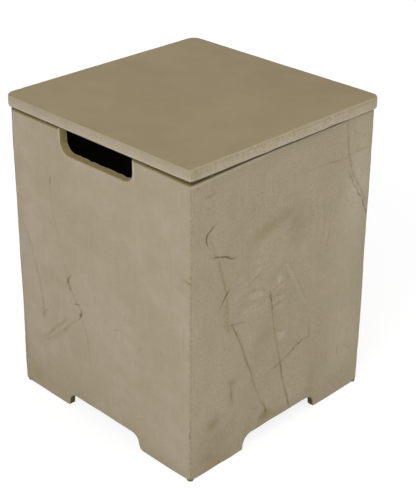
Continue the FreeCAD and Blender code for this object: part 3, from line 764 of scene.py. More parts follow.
# %% Stains
OLIVE, GRIME, PALE, ROUGH = range(4)
PATCHES = {
    (OLIVE, FRONT): [
        (-150, 30, 50, 26, 0, 0.2), (-190, 240, 48, 300, 0, 0.26), (-100, 60, 110, 30, 0, 0.16),
        (120, 120, 50, 40, 0, 0.3), (40, 130, 44, 30, 20, 0.25), (-191, 90, 6, 60, 0, 0.4),
        (-102, 128, 46, 12, 42, 0.35), (-20, 290, 26, 20, 0, 0.2), (60, 250, 50, 26, -30, 0.2),
    ],
    (OLIVE, RIGHT): [
        (-50, 364, 40, 14, 12, 0.6), (24, 342, 28, 38, 0, 0.7), (-8, 378, 36, 11, 0, 0.4),
        (-40, 190, 25, 20, 0, 0.5), (-147, 85, 13, 10, 20, 0.6), (-108, 137, 18, 5, -8, 0.4),
        (-60, 158, 22, 14, -20, 0.4), (-72, 100, 26, 50, 25, 0.35), (-110, 122, 8, 24, 0, 0.5),
        (-150, 50, 60, 50, 10, 0.5), (-168, 250, 9, 26, 0, 0.35), (156, 36, 44, 16, 0, 0.2),
        (75, 60, 12, 30, 0, 0.4), (-33, 46, 12, 8, 0, 0.6), (-16, 36, 52, 8, 0, 0.4),
    ],
    (OLIVE, BACK): [
        (-30, 120, 90, 50, 20, 0.4), (110, 380, 60, 40, -15, 0.4), (40, 240, 26, 20, 0, 0.4),
    ],
    (OLIVE, LEFT): [
        (90, 90, 60, 60, 0, 0.4), (0, 340, 50, 22, -12, 0.5), (-120, 210, 20, 40, 0, 0.4),
    ],
    (GRIME, FRONT): [
        (-107.5, 394, 2.4, 4.5, 0, 0.7), (-73, 233, 2.6, 8, 14, 0.9), (-68, 222, 3, 4, 20, 0.7),
        (-45.4, 187, 3.2, 6, -25, 0.85), (-139, 151, 2.4, 7, -12, 0.5), (-131, 160, 5, 2.4, 35, 0.5),
        (-84, 144, 3.4, 2.4, 40, 0.5), (-130, 108, 4, 2.4, 30, 0.4), (196, 237, 2.4, 2.4, 0, 0.8),
        (197, 344, 2, 2, 0, 0.8), (195, 82, 2, 4, 0, 0.8), (184, 449, 3, 1.6, 0, 0.5),
    ],
    (GRIME, RIGHT): [
        (181, 338, 3.5, 6, 0, 0.8), (172.5, 452, 3, 3.5, 0, 0.7), (161, 438, 10, 4, 35, 0.35),
        (-33, 51, 4, 4, 0, 0.6), (-112, 121, 2.4, 12, 0, 0.2), (-161, 28, 8, 7, 30, 0.45),
        (-80, 28, 7, 9, 0, 0.25), (-127, 201, 2, 5, 0, 0.5), (-153, 444, 3, 3, 0, 0.4),
        (-184, 476, 3, 2.4, 0, 0.55), (-166, 398, 1.6, 4.5, 10, 0.9), (-125.5, 290.5, 1.8, 3.4, -40, 0.9),
        (-29.5, 251, 2.6, 6, 10, 0.5), (-4.5, 124, 3, 2, 0, 0.9), (24.5, 135, 3, 2, 0, 0.5),
        (-101, 144, 3, 2.4, 0, 0.5), (123, 36, 5, 3, 30, 0.45), (154, 39, 5, 2.4, -20, 0.5),
        (-197, 85, 1.6, 5, 0, 0.8), (-197, 58, 1.6, 6, 0, 0.6),
    ],
    (GRIME, BACK): [
        (-95, 350, 4, 6, 0, 0.5),
    ],
    (PALE, FRONT): [
        (82, 468, 1.8, 22, 0, 1.2), (0, 300, 90, 60, 30, 0.2), (110, 250, 40, 90, 0, 0.2),
        (-153, 246, 3, 12, 0, 0.5),
    ],
    (PALE, RIGHT): [
        (-1, 173, 14, 9, 0, 0.9), (-62, 266, 19, 7, -8, 0.55), (-7, 226, 14, 5, 3, 0.55),
        (-10, 270, 10, 11, 0, 0.25), (172, 390, 40, 110, 0, 0.75), (160, 90, 60, 80, 0, 0.5),
        (145, 200, 55, 170, 0, 0.3), (-186, 463, 5, 4, 0, 0.6), (-5, 255, 18, 34, 10, 0.25),
        (-72, 180, 8, 12, 0, 0.3), (-157, 402, 4, 5, 0, 0.5), (-12, 276, 7, 8, 0, 0.6),
        (-64, 305, 16, 8, 10, 0.4), (-40, 262, 20, 9, 0, 0.3), (158, 368, 8, 3, -45, 0.5),
        (130, 320, 50, 110, 0, 0.3),
    ],
    (PALE, BACK): [
        (20, 280, 80, 60, 0, 0.3),
    ],
    (PALE, LEFT): [
        (-60, 400, 70, 40, 0, 0.3),
    ],
    (ROUGH, FRONT): [
        (-108, 128, 52, 34, 40, 1.0), (-66, 215, 30, 40, 0, 0.7), (-150, 220, 24, 60, 0, 0.6),
        (30, 190, 60, 50, 0, 0.5), (70, 66, 70, 40, 0, 0.5), (160, 230, 40, 90, 0, 0.35),
        (-110, 30, 60, 25, 0, 0.5),
    ],
    (ROUGH, RIGHT): [
        (-66, 272, 64, 52, 0, 1.0), (16, 262, 36, 56, 0, 1.0), (-20, 176, 44, 36, 0, 0.7),
        (100, 312, 30, 56, 0, 0.9), (150, 412, 44, 56, 0, 0.9), (-50, 402, 56, 46, 0, 0.8),
        (-30, 112, 60, 40, 0, 0.7), (20, 368, 50, 30, 0, 0.8), (-168, 452, 30, 30, 0, 0.8),
        (130, 66, 60, 40, 0, 0.4), (-140, 60, 50, 40, 0, 0.4),
    ],
    (ROUGH, BACK): [
        (-60, 320, 70, 80, 0, 0.9), (90, 140, 70, 70, 0, 0.8),
    ],
    (ROUGH, LEFT): [
        (0, 290, 90, 70, 0, 0.9), (-100, 120, 60, 60, 0, 0.7),
    ],
}


def wide_strokes(table, side, across, up):
    """For each (half width, line) of a table by wall: the mask of the wall's points, and at those points
    the line's strength times a bell curve of the distance over its half width."""
    for wall, lines in table.items():
        here = side == wall
        for width, line in lines:
            _, plain, strength = stroke(line, across[here], up[here])
            yield here, strength * bell(plain, width)


def vein_sum(side, across, up):
    """Amount of stain that the veins add: where two veins meet, the stronger one counts."""
    amount = np.zeros(side.shape)
    for here, stain in wide_strokes(VEINS, side, across, up):
        amount[here] = np.maximum(amount[here], stain)
    return amount


def fold_sum(side, across, up):
    """Height of the folds, upwards for a ridge and downwards for a groove. They add up."""
    height = np.zeros(side.shape)
    for here, rise in wide_strokes(FOLDS, side, across, up):
        height[here] += rise
    return height


def patch_sum(side, across, up):
    """Amounts of olive stain, grime, paleness and roughness: each patch is a bell curve of the distance
    from its middle, in units of its two half widths, turned by its angle."""
    amounts = np.zeros((4, *side.shape))
    for (kind, wall), patches in PATCHES.items():
        here = side == wall
        for middle, height, wide, tall, angle, amount in patches:
            cos, sin = math.cos(math.radians(angle)), math.sin(math.radians(angle))
            x, y = across[here] - middle, up[here] - height
            far = ((x * cos + y * sin) / wide) ** 2 + ((y * cos - x * sin) / tall) ** 2
            amounts[kind][here] += amount * np.exp(-far)
    return amounts


for title, table in (("veins", VEINS), ("folds", FOLDS), ("patches", PATCHES)):
    print(title, sum(map(len, table.values())))

# %% [markdown]
# ## A mesh from a grid of points
# A closed wall is a grid whose last row joins the first and whose last column joins the first, like a bent
# ring. A slab is a grid whose two end rows close on a single point. One function makes the faces for both,
# as whole arrays.


# %% Grid to object
def grid_object(name, points, tops=None):
    """points has the shape rows, columns, 3. Each cell is one face, and columns always close. The rows
    close as well, unless tops holds the two end points that close the first and the last row as fans."""
    rows, cols = points.shape[:2]
    index = np.arange(rows * cols).reshape(rows, cols)
    near = index[:-1] if tops else index
    far = index[1:] if tops else np.roll(index, -1, 0)
    faces = np.stack([near, np.roll(near, -1, 1), np.roll(far, -1, 1), far], -1).reshape(-1, 4).tolist()
    places = points.reshape(-1, 3)
    if tops:
        first, last = rows * cols, rows * cols + 1
        places = np.vstack([places, tops])
        start, end = index[0], index[-1]
        faces += np.stack([np.full(cols, first), np.roll(start, -1), start], -1).tolist()
        faces += np.stack([end, np.roll(end, -1), np.full(cols, last)], -1).tolist()
    mesh = bpy.data.meshes.new(name)
    mesh.from_pydata(places.tolist(), [], faces)
    mesh.polygons.foreach_set("use_smooth", np.ones(len(mesh.polygons), bool))
    made = bpy.data.objects.new(name, mesh)
    bpy.context.scene.collection.objects.link(made)
    return made


def paint(made, name, *values):
    """Stores up to three numbers for each vertex, which a recipe reads with parts(). Each value holds the
    grid's points, and the end points of a slab get the last one's number."""
    numbers = np.zeros((len(made.data.vertices), 3), np.float32)
    for part, value in enumerate(values):
        numbers[: value.size, part] = value.ravel()
        numbers[value.size :, part] = value.ravel()[-1]
    attribute = made.data.attributes.new(name, "FLOAT_VECTOR", "POINT")
    attribute.data.foreach_set("vector", numbers.ravel())


def measure(made):
    """Litres inside a closed mesh, positive if its faces point outwards, and its count of triangles. The
    volume is a sixth of the sum, over triangles, of the first corner dotted with the cross product of the
    other two."""
    mesh = made.data
    mesh.calc_loop_triangles()
    corner = np.zeros(len(mesh.loop_triangles) * 3, np.int32)
    mesh.loop_triangles.foreach_get("vertices", corner)
    place = np.zeros(len(mesh.vertices) * 3)
    mesh.vertices.foreach_get("co", place)
    a, b, c = place.reshape(-1, 3)[corner.reshape(-1, 3)].transpose(1, 0, 2)
    return float((a * np.cross(b, c)).sum() / 6 * 1000), len(a)


# %% [markdown]
# ## The cast box
# One casting, so one mesh. Each column of it is a closed loop: up the outer face, over the worn outer edge,
# across the rim, down the inner face and back under the foot. The radius of the outer edge changes along
# the table, which is what wear and small chips do to a real edge. The relief goes inwards only, so the box
# stays within its CAD size.

# %% Edge lines of all columns
ARCH_HALF, ARCH_RISE, ARCH_HOLLOW = 82.5 * MM, 24 * MM, 18 * MM
NOTCH_HALF, NOTCH_DEPTH, NOTCH_HOLLOW = 78.5 * MM, 40 * MM, 18 * MM
NOSE = 3.2 * MM
BLUNT_HOLLOW, BLUNT_NOSE = 15 * MM, 8.5 * MM
notched = (side == FRONT) | (side == BACK)
near_toe = (side == FRONT) & (tau > 0)
foot_sharp = opening_line(tau, ARCH_HALF, ARCH_RISE, ARCH_HOLLOW, NOSE)
foot_blunt = opening_line(tau, ARCH_HALF, ARCH_RISE, BLUNT_HOLLOW, BLUNT_NOSE)
foot_t, foot_z, foot_nt, foot_nz = [np.where(near_toe, a, b) for a, b in zip(foot_blunt, foot_sharp)]
rim_open = opening_line(tau, NOTCH_HALF, NOTCH_DEPTH, NOTCH_HOLLOW, NOSE)
rim_t, rim_z, rim_nt, rim_nz = [np.where(notched, a, b) for a, b in zip(rim_open, level_line(tau))]
foot_z, rim_z, rim_nz = FOOT + foot_z, RIM - rim_z, -rim_nz
foot_place = wall_point(side, foot_t, foot_z, np.zeros_like(tau))
rim_place = wall_point(side, rim_t, rim_z, np.zeros_like(tau))
print("edge lines over", len(tau), "columns")


# %% Worn edge radii
def worn(points, usual, spread, seed):
    """Radius of a worn edge along its line: the usual one, changed by up to spread of itself, and larger in
    the few places where a fine ripple is at its highest, as a chip."""
    slow, quick = ripple(points, 0.06, seed), ripple(points, 0.012, seed + 1)
    chip = np.clip(quick - 1.0, 0, 1) * 2.2
    return usual * (1 + spread * slow + chip).clip(0.45, 2.0)


def near_corner(place, x, y, reach):
    """1 at a corner of the plan, falling as a bell curve of the distance over reach."""
    return np.exp(-((place[:, :2] - [x * HALF, y * HALF]) ** 2).sum(-1) / reach**2)


foot_round = worn(foot_place, usual=2.3 * MM, spread=0.35, seed=11)
foot_round += 2.2 * MM * near_corner(foot_place, -1, -1, reach=14 * MM)
foot_round += 1.6 * MM * near_corner(foot_place, 1, 1, reach=12 * MM)
rim_round = worn(rim_place, usual=1.8 * MM, spread=0.3, seed=21)
foot_inner = worn(foot_place, usual=1.8 * MM, spread=0.5, seed=31)
rim_inner = worn(rim_place, usual=0.9 * MM, spread=0.5, seed=41)
for title, radius in (("foot", foot_round), ("rim", rim_round)):
    print(title, "edge radius in mm:", round(radius.min() / MM, 1), "to", round(radius.max() / MM, 1))


# %% Rounds and face rows
SETTLE = 8 * MM


def edge_round(line, radius, steps, inner=False):
    """Rows of a quarter round between a face and the wall's end, as place t, height z and depth. The line
    is its t, z and direction into the stone. At turn u it is offset into the stone by radius times 1 - sin
    u and lies radius times 1 - cos u deep, counted from the inner face for inner."""
    t, z, nt, nz = line
    u = np.linspace(0, math.pi / 2, steps + 1)[:, None]
    offset, deep = radius * (1 - np.sin(u)), radius * (1 - np.cos(u))
    return t + nt * offset, z + nz * offset, WALL - deep if inner else deep


def face_rows(shares):
    """Rows of a wall's face between the lines at foot and rim where their rounds start. A row lies at its
    share of the height, and a column goes back to its own t within about SETTLE of either line."""
    low_t, low_z = foot_t + foot_nt * foot_round, foot_z + foot_nz * foot_round
    high_t, high_z = rim_t + rim_nt * rim_round, rim_z + rim_nz * rim_round
    z = low_z + (high_z - low_z) * shares[:, None]
    from_low, from_high = np.exp((low_z - z) / SETTLE), np.exp((z - high_z) / SETTLE)
    return tau + (low_t - tau) * from_low + (high_t - tau) * from_high, z


# %% Rows of the whole loop
OUTER_STEPS, INNER_STEPS, INNER_ROWS = 4, 3, 14
JAG = 1.1 * MM
outer_t, outer_z = face_rows(share_up)
inner_t, inner_z = face_rows(np.linspace(1, 0, INNER_ROWS + 2)[1:-1])
jag = JAG * np.clip(ripple(rim_place, 0.009, 43) + 0.2, 0, 1.5) * (rim_z < RIM - 2 * MM)
jag_t, jag_z = rim_nt * jag, rim_nz * jag
rim_outer = edge_round((rim_t, rim_z, rim_nt, rim_nz), rim_round, OUTER_STEPS)
rim_inside = edge_round((rim_t + jag_t, rim_z + jag_z, rim_nt, rim_nz), rim_inner, INNER_STEPS, inner=True)
foot_inside = edge_round((foot_t, foot_z, foot_nt, foot_nz), foot_inner, INNER_STEPS, inner=True)
foot_outer = edge_round((foot_t, foot_z, foot_nt, foot_nz), foot_round, OUTER_STEPS)
cut_depths = np.array([4.0, 8.0, 11.3])[:, None] * MM
jagged, level = cut_depths / WALL, np.zeros((len(cut_depths), len(tau)))
blocks = [
    (outer_t, outer_z, 0 * outer_t),
    [rows[1:] for rows in rim_outer],
    (rim_t + jag_t * jagged, rim_z + jag_z * jagged, cut_depths + level),
    [rows[::-1] for rows in rim_inside],
    (inner_t, inner_z, 0 * inner_t + WALL),
    foot_inside,
    (foot_t + level, foot_z + level, cut_depths[::-1] + level),
    [rows[:0:-1] for rows in foot_outer],
]
loop_t, loop_z, loop_depth = [np.vstack(rows) for rows in zip(*blocks)]
print("loop of", len(loop_t), "rows by", len(tau), "columns")

# %% Masks and marks on the loop
loop_side = np.broadcast_to(side, loop_t.shape)
on_front, on_right = loop_side == FRONT, loop_side == RIGHT
near_front, near_right = on_front & (loop_t > 0), on_right & (loop_t < 0)
across, up = loop_t / MM, loop_z / MM
corner_gap = (REACH - np.abs(loop_t)) / MM
outer_share = np.clip(1 - loop_depth / (4 * MM), 0, 1)
inner_share = np.clip(1 - (WALL - loop_depth) / (4 * MM), 0, 1)
layers = {}
for name, table in CRACKS.items():
    distance, strength = crack_layer(table, loop_side, across, up)
    layers[name] = distance, strength * outer_share
fold = fold_sum(loop_side, across, up) * outer_share
print("strongest crack:", round(max(strength.max() for _, strength in layers.values()), 2))


# %% Relief of the box
def shelf(wall, line, drop, reach):
    """Depth in mm of a shelf of stone on the left of a line: drop at the line, fading over reach, and 0 on
    its right. It makes one lip of a crack stand a little higher than the other."""
    depth = np.zeros(loop_t.shape)
    here = (loop_side == wall) & (loop_depth < WALL / 2)
    signed, plain, strength = stroke(line, across[here], up[here])
    depth[here] = drop * np.clip(0.5 + signed / 2.5, 0, 1) * bell(plain, reach) * (strength > 0)
    return depth


GROOVE_DEEP, GROOVE_HALF, FOLD_TALL, PIT_DEEP, MOST_RELIEF = 0.55, 1.5, 0.4, 1.6, 2.2
flat_points = wall_point(loop_side, loop_t, loop_z, loop_depth)
groove = functools.reduce(np.maximum, [strong * bell(gap, GROOVE_HALF) for gap, strong in layers.values()])
relief = 0.6 + 0.42 * ripple(flat_points, 0.17, 5) + 0.14 * ripple(flat_points, 0.05, 6)
relief += 0.05 * ripple(flat_points, 0.014, 8) + GROOVE_DEEP * groove - FOLD_TALL * fold
relief += shelf(RIGHT, LEFT_CRACK, drop=0.45, reach=26) + shelf(RIGHT, MIDDLE_CRACK, drop=-0.25, reach=18)
relief += shelf(RIGHT, FAR_CRACK, drop=0.4, reach=20) + shelf(FRONT, FRONT_CRACK, drop=0.3, reach=24)
pits = np.clip(ripple(flat_points, 0.008, 51) - 1.05, 0, 1) * np.exp(-corner_gap / 3.0)
relief = np.clip(relief + PIT_DEEP * pits, 0.02, MOST_RELIEF)
print("relief from", round(relief.min(), 2), "to", round(relief.max(), 2), "mm")

# %% The box's mesh
HAND_HOLE_HALF, HAND_HOLE_FADE, THICKER = 96, 8, 3.4
rough_inside = 0.8 + 0.5 * ripple(flat_points, 0.035, 61) + 0.2 * ripple(flat_points, 0.01, 62)
rough_inside = np.clip(rough_inside, 0, 1.8)
beside_notch = np.clip((HAND_HOLE_HALF - np.abs(across)) / HAND_HOLE_FADE, 0, 1)
beside_notch *= on_front | (loop_side == BACK)
thicker = THICKER * beside_notch * bell(rim_z - loop_z, 16 * MM)
depth = loop_depth + (relief * outer_share + (thicker - rough_inside) * inner_share) * MM
cast_box = grid_object("cast_box", wall_point(loop_side, loop_t, loop_z, depth))
volume, triangles = measure(cast_box)
print("cast box:", round(volume, 2), "litres,", triangles, "triangles")

# %% Stains of the box
above_foot = (loop_z - foot_z) / MM
below_rim = (rim_z - loop_z) / MM
off_foot = np.clip(above_foot, 0, None)
olive, grime_and_shade, pale_and_light, rough = patch_sum(loop_side, across, up) * outer_share
vein = vein_sum(loop_side, across, up) * outer_share
# Painted shade: the shadow of the lid's overhang and the dark of the gap under it lie as a dark band under
# the rim, with a dark core at its top. The band has a width for each wall, and is wider near the edge that
# faces the camera.
near_edge = (near_front | near_right) * bell(corner_gap, 70)
rim_face = (loop_depth < 3 * MM) & (rim_z > RIM - 1 * MM)
band_width = np.select([on_front, on_right], [4.1, -0.4 - 0.021 * across], 1.5)
band_width += 0.25 * ripple(flat_points, 0.03, 58) + 1.1 * near_edge
rim_shade_band = rim_face / (1 + np.exp(((below_rim - band_width) / 0.45).clip(-20, 20)))
rim_shade_core = rim_face * bell(np.clip(below_rim, 0, None), 1.1 + near_edge)
rim_shade_core *= np.where(on_right, np.clip(1.2 - 0.0105 * across, 0, 1), 0.6 + 0.4 * near_edge)
# Olive stain rises from the foot. Just under the rim's band the stone is painted pale, painted light that
# takes away the lid's shade there, most on the right wall.
below_band = (below_rim - band_width).clip(0, None)
olive += (0.42 + 0.1 * ripple(flat_points, 0.05, 57)) * np.exp(-off_foot / 45)
pale_and_light += np.where(on_right, 0.75, 0.4) * bell(below_band - 1.6, 2.0)
pale_and_light += np.where(on_right, 0.5, 0.0) * np.exp(-below_band / 10)
# The wall is darker in the last few millimetres above the foot, and painted shade lies along the upright
# edges, with its own amount and width on each side of an edge.
far_amount = np.where(near_front | near_right, 0, np.where(on_front | on_right, 0.85, 0.3))
grime_and_shade += 0.55 * np.exp(-off_foot / 1.8) + far_amount * bell(corner_gap, 3.2)
grime_and_shade += 0.42 * near_front * bell(corner_gap, 3.4)
grime_and_shade += near_right * (0.34 * bell(corner_gap, 2.4) + 0.12 * bell(corner_gap, 12))
print("olive up to", round(olive.max(), 2), "grime_and_shade", round(grime_and_shade.max(), 2), "paleness", round(pale_and_light.max(), 2))

# %% What the stone recipe reads
CUT_DEPTH, LIP_DEPTH, INSIDE_DEPTH, CHANGE = 2.2, 11.4, 12.3, 0.6
ARCH_TOP, ARCH_FADE = 0.1, 0.02
wear = np.exp(-np.clip(np.minimum(above_foot, below_rim), 0, None) / 2.6) * outer_share
cut = np.clip(loop_depth / (CUT_DEPTH * MM), 0, 1)
# The inner face is painted near black: the raw casting's colour darkened into painted shade.
inside = np.clip((loop_depth / MM - INSIDE_DEPTH) / CHANGE, 0, 1)
# Painted highlight: the notch cut's inner lip is painted cream, lighter than the lid's shade there lets it
# be.
lip = np.clip((loop_depth / MM - LIP_DEPTH) / CHANGE, 0, 1) * (1 - inside) * (below_rim < 3)
# Painted shade: the cut faces under the arch are painted dark, as shade falls there.
arch_cut = cut * np.clip((ARCH_TOP - loop_z) / ARCH_FADE, 0, 1)
warm = on_right | (loop_side == LEFT)
for name, marks in layers.items():
    paint(cast_box, name, *marks)
# The stain attribute holds olive stain; grime, darker at the foot and with painted shade along the upright
# edges; and paleness, with painted light under the rim's band.
paint(cast_box, "stain", olive, grime_and_shade, pale_and_light)
paint(cast_box, "form", wear, np.maximum(cut, inside), rough.clip(0, 1))
# The rim attribute holds the painted shade band under the lid, its dark core, and the painted highlight on
# the notch's inner lip.
paint(cast_box, "rim", rim_shade_band, rim_shade_core, lip)
paint(cast_box, "light", warm, vein)
paint(cast_box, "within", inside, arch_cut, fold)
print("attributes of the box:", [attribute.name for attribute in cast_box.data.attributes])

# %% [markdown]
# ## The lid
# The lid is a slab poured in a flat mould: smooth on top, with a rounded upper edge and scraped sides. Its
# mesh is a set of rings, each the slab's outline at one place of the profile, from the middle of the top
# out over the edge and back to the middle of the underside. The edge radius wanders, and the top dips by a
# few tenths of a millimetre, so that light doesn't lie on it as on glass. The corner that faces the camera
# is less worn than the others, so it has a smaller radius.

# %% Lid rings
lid_low, lid_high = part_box("lid_slab")
LID_HALF, LID_LOW, LID_TOP = lid_high.x, lid_low.z, lid_high.z
LID_CORNER, CRISP_CORNER, LEAST_CORNER = 14 * MM, 5 * MM, 1.5 * MM
LID_STRAIGHT = LID_HALF - LID_CORNER
LID_REACH = LID_STRAIGHT + LID_CORNER * math.pi / 4
lid_ranges = [(-200, -187.5, 1.2), (187.5, 200, 1.2), (-200, 200, 2.7)]
lid_count, lid_place = spread(lid_ranges, -LID_REACH / MM, LID_REACH / MM)
lid_t = np.tile(lid_place(np.arange(lid_count) + 0.5) * MM, 4)
lid_side = np.repeat(np.arange(4), lid_count)
lid_near_right = (lid_side == RIGHT) & (lid_t < 0)
crisp = ((lid_side == FRONT) & (lid_t > 0)) | lid_near_right
usual_corner = np.where(crisp, CRISP_CORNER, LID_CORNER)
turned = np.clip((np.abs(lid_t) - LID_STRAIGHT) / (LID_REACH - LID_STRAIGHT), 0, 1) * math.pi / 4


def lid_ring(inset, scale, z):
    """Rows of lid points: a rounded square moved in by inset, with its corners smaller by as much, then
    drawn together by scale, at height z. Along a side, t runs over the straight part and then over an
    eighth of a turn."""
    corner = np.clip(usual_corner - inset, LEAST_CORNER, None)
    straight = LID_HALF - inset - corner
    even = np.minimum(np.abs(lid_t), LID_STRAIGHT) / LID_STRAIGHT
    run = np.sign(lid_t) * (even * straight + corner * np.sin(turned))
    out = straight + corner * np.cos(turned)
    flat = run[..., None] * ALONG[lid_side] + out[..., None] * OUTWARD[lid_side]
    return np.concatenate([flat * scale[..., None], np.broadcast_to(z, run.shape)[..., None]], -1)


lid_line = lid_ring(np.zeros_like(lid_t), np.ones_like(lid_t), LID_TOP)
print("lid outline of", len(lid_t), "points, corners from", CRISP_CORNER / MM, "to", LID_CORNER / MM, "mm")


# %% Lid profile
TOP_ROUND, LOW_ROUND, INSET = 1.3 * MM, 1.6 * MM, 8 * MM
TOP_RINGS, LOW_RINGS, SIDE_RINGS, TOP_STEPS, LOW_STEPS = 34, 12, 9, 7, 5


def lid_rows(inset, scale, height, out_share, up_share):
    """One block of the profile: inset, scale and height of its rings, and how much they face out and up,
    each spread over all of the block's rings and columns."""
    return np.broadcast_arrays(inset, scale, height, out_share, up_share, lid_t)[:5]


blunt = np.where(crisp, 0, bell(LID_REACH - np.abs(lid_t), 10 * MM))
top_round = worn(lid_line, usual=TOP_ROUND, spread=0.16, seed=71) + 1.7 * MM * blunt
low_round = worn(lid_line - [0, 0, 0.019], usual=LOW_ROUND, spread=0.3, seed=81) + 1.2 * MM * blunt
top_u, low_u = [np.linspace(0, math.pi / 2, steps)[:, None] for steps in (TOP_STEPS, LOW_STEPS)]
across_top = np.linspace(0.03, 1, TOP_RINGS)[:, None]
across_low = np.linspace(1, 0.05, LOW_RINGS)[:, None]
climb = np.linspace(1, 0, SIDE_RINGS + 2)[1:-1, None]
side_z = LID_LOW + low_round + (LID_TOP - top_round - LID_LOW - low_round) * climb
top_z, low_z = LID_TOP - top_round * (1 - np.cos(top_u)), LID_LOW + low_round * (1 - np.sin(low_u))
blocks = [
    lid_rows(INSET, across_top, LID_TOP, 0, 1),
    lid_rows(INSET + (top_round - INSET) * np.array([[0.4], [0.8]]), 1, LID_TOP, 0, 1),
    lid_rows(top_round * (1 - np.sin(top_u)), 1, top_z, np.sin(top_u), np.cos(top_u)),
    lid_rows(0, 1, side_z, 1, 0),
    lid_rows(low_round * (1 - np.cos(low_u)), 1, low_z, np.cos(low_u), -np.sin(low_u)),
    lid_rows(low_round + (INSET - low_round) * 0.3, 1, LID_LOW, 0, -1),
    lid_rows(INSET, across_low, LID_LOW, 0, -1),
]
inset, scale, height, out_share, up_share = [np.vstack(rows) for rows in zip(*blocks)]
print("lid profile of", len(inset), "rings")

# %% The lid's mesh
smooth_lid = lid_ring(inset, scale, height)
dish = 0.22 + 0.13 * ripple(smooth_lid, 0.13, 91) + 0.04 * ripple(smooth_lid, 0.03, 92)
sides = 0.35 + 0.2 * ripple(smooth_lid, 0.07, 93) + 0.14 * ripple(smooth_lid, 0.02, 94, (0.25, 0.25, 1.6))
bites = 1.5 * np.clip(ripple(smooth_lid, 0.009, 95) - 1.0, 0, 1) * out_share * (up_share > 0)
sunk = np.clip(dish * np.clip(up_share, 0, 1) + sides * out_share + bites, 0, 1.4) * MM
lid_points = lid_ring(inset + sunk * out_share, scale, height - sunk * up_share)
middle_top = (0, 0, float(lid_points[0, :, 2].mean()))
lid = grid_object("lid", lid_points[::-1], tops=[(0, 0, LID_LOW), middle_top])
volume, triangles = measure(lid)
print("lid:", round(volume, 2), "litres,", triangles, "triangles")

# %% What the lid's recipe reads
below_top, above_low = (LID_TOP - height) / MM, (height - LID_LOW) / MM
lid_corner_gap = (LID_REACH - np.abs(lid_t)) / MM
on_top = np.clip(up_share, 0, 1) ** 2
right_share = np.where(lid_side == RIGHT, np.clip((135 - lid_t / MM) / 40, 0.3, 1), 1)
edge_top = bell(below_top - 0.6, 1.1) * (inset < 3 * MM)
# Painted highlight: a cream line just above the lid's lower round, where the white floor would light it.
edge_low_highlight = bell(above_low - 2.3, 1.0) * (inset < 1.2 * MM)
under_edge = bell(below_top - 3.6, 1.3) * (inset < 1 * MM)
low_half = bell(above_low - 5, 5) * (inset < 2.5 * MM)
# Painted shade: the lowest round of the lid's edge is painted dark, for the gap under the lid.
low_gap_shade = np.clip((1.6 - above_low) / 0.4, 0, 1) * (inset < 7.9 * MM) * right_share
# Painted light: the lid's right and left sides are made lighter than the front and back.
sunny = (lid_side == RIGHT) | (lid_side == LEFT)
# Painted shade: a thin dark line down each upright corner of the lid, where its two sides meet.
crease_shade = bell(lid_corner_gap, 1.5) * (1 - on_top)
near_crease = bell(lid_corner_gap, 26) * lid_near_right * (1 - on_top)
# The lid's stain attribute holds the painted shade at the corners, the mask of the lit sides, and the darker
# tone near the right corner.
LID_READS = {
    "stain": (crease_shade, sunny, near_crease),
    "side": (under_edge, low_half, low_gap_shade),
    "form": (edge_top, edge_low_highlight, on_top),
}
for name, values in LID_READS.items():
    paint(lid, name, *[np.broadcast_to(value, inset.shape)[::-1] for value in values])
print("lid edge bands:", round(float(edge_top.max()), 2), round(float(edge_low_highlight.max()), 2))

# %% [markdown]
# ## Cast stone
# Stone paste is brushed while it sets and then stained, so its colour comes in layers: a warm grey body in
# large soft patches, upright brush streaks, olive stain that gathers at edges and cracks, grime, and pale
# worn edges. Over them go painted shade and painted light: the dark band and gap under the lid, the dark
# inside and arch faces, shade at the upright edges and lid corners, light on ridges and under the band, and
# cream highlights on the lid's lower edge and the notch's lip. The recipe builds these one over the other.
# The same patterns, at millimetre size, go into the bump.

# %% Colours of the stone
CLAY, ROSE, SAGE = linear(165, 152, 130), linear(173, 159, 140), linear(154, 143, 116)
# The first colour on the next line lays stain and painted shade, the second grime and painted shade.
STAIN_AND_SHADE, GRIME_AND_SHADE, CRACK_DARK = linear(137, 125, 88), linear(92, 80, 50), linear(64, 49, 18)
# The first colour on the next line lays worn edges and painted light.
WORN_AND_LIGHT, TOP_CLAY, TOP_DARK = linear(194, 184, 163), linear(152, 136, 103), linear(145, 129, 96)
# The last two colours on the next line are partly painted shade: the cut faces under the arch, and the
# inside darkened into shade.
CUT_OLIVE, ARCH_SHADE, BARE_AND_SHADED_INSIDE = linear(160, 143, 98), linear(72, 62, 30), linear(50, 45, 35)
# The first two colours on the next line are painted shade: the band under the lid and the dark line of its
# gap.
RIM_SHADE_OLIVE, GAP_SHADE_DARK, WARM_CLAY = linear(112, 96, 50), linear(44, 32, 4), linear(158, 147, 112)
# The first colour on the next line lays worn top edges and painted highlights on the lid's lower edge and
# the notch's lip.
CREAM, CRACK_OLIVE = linear(208, 195, 170), linear(128, 112, 66)


def stone_body(recipe):
    """Colour, streaks, fine and finest pattern that box and lid share, before stains and edges."""
    large = recipe.noise(8, 3).rise(0.38, 0.62)
    cloud = recipe.noise(30, 3, roughness=0.5).rise(0.35, 0.75)
    streak = recipe.noise(330, 4, (1, 1, 0.035), 0.65)
    fine = recipe.noise(520, 3, (1, 1, 0.55), 0.7, 0.6)
    grain = recipe.noise(1100, 2)
    colour = recipe.mix(recipe.mix(CLAY, ROSE, 0.8 * large), SAGE, 0.35 * cloud)
    tone = 1.0 + 0.13 * (streak - 0.5) + 0.27 * (fine - 0.5) + 0.18 * (grain - 0.5)
    return recipe.shade(colour, tone), streak, fine, grain


print("warm grey body:", [round(part, 3) for part in CLAY[:3]])


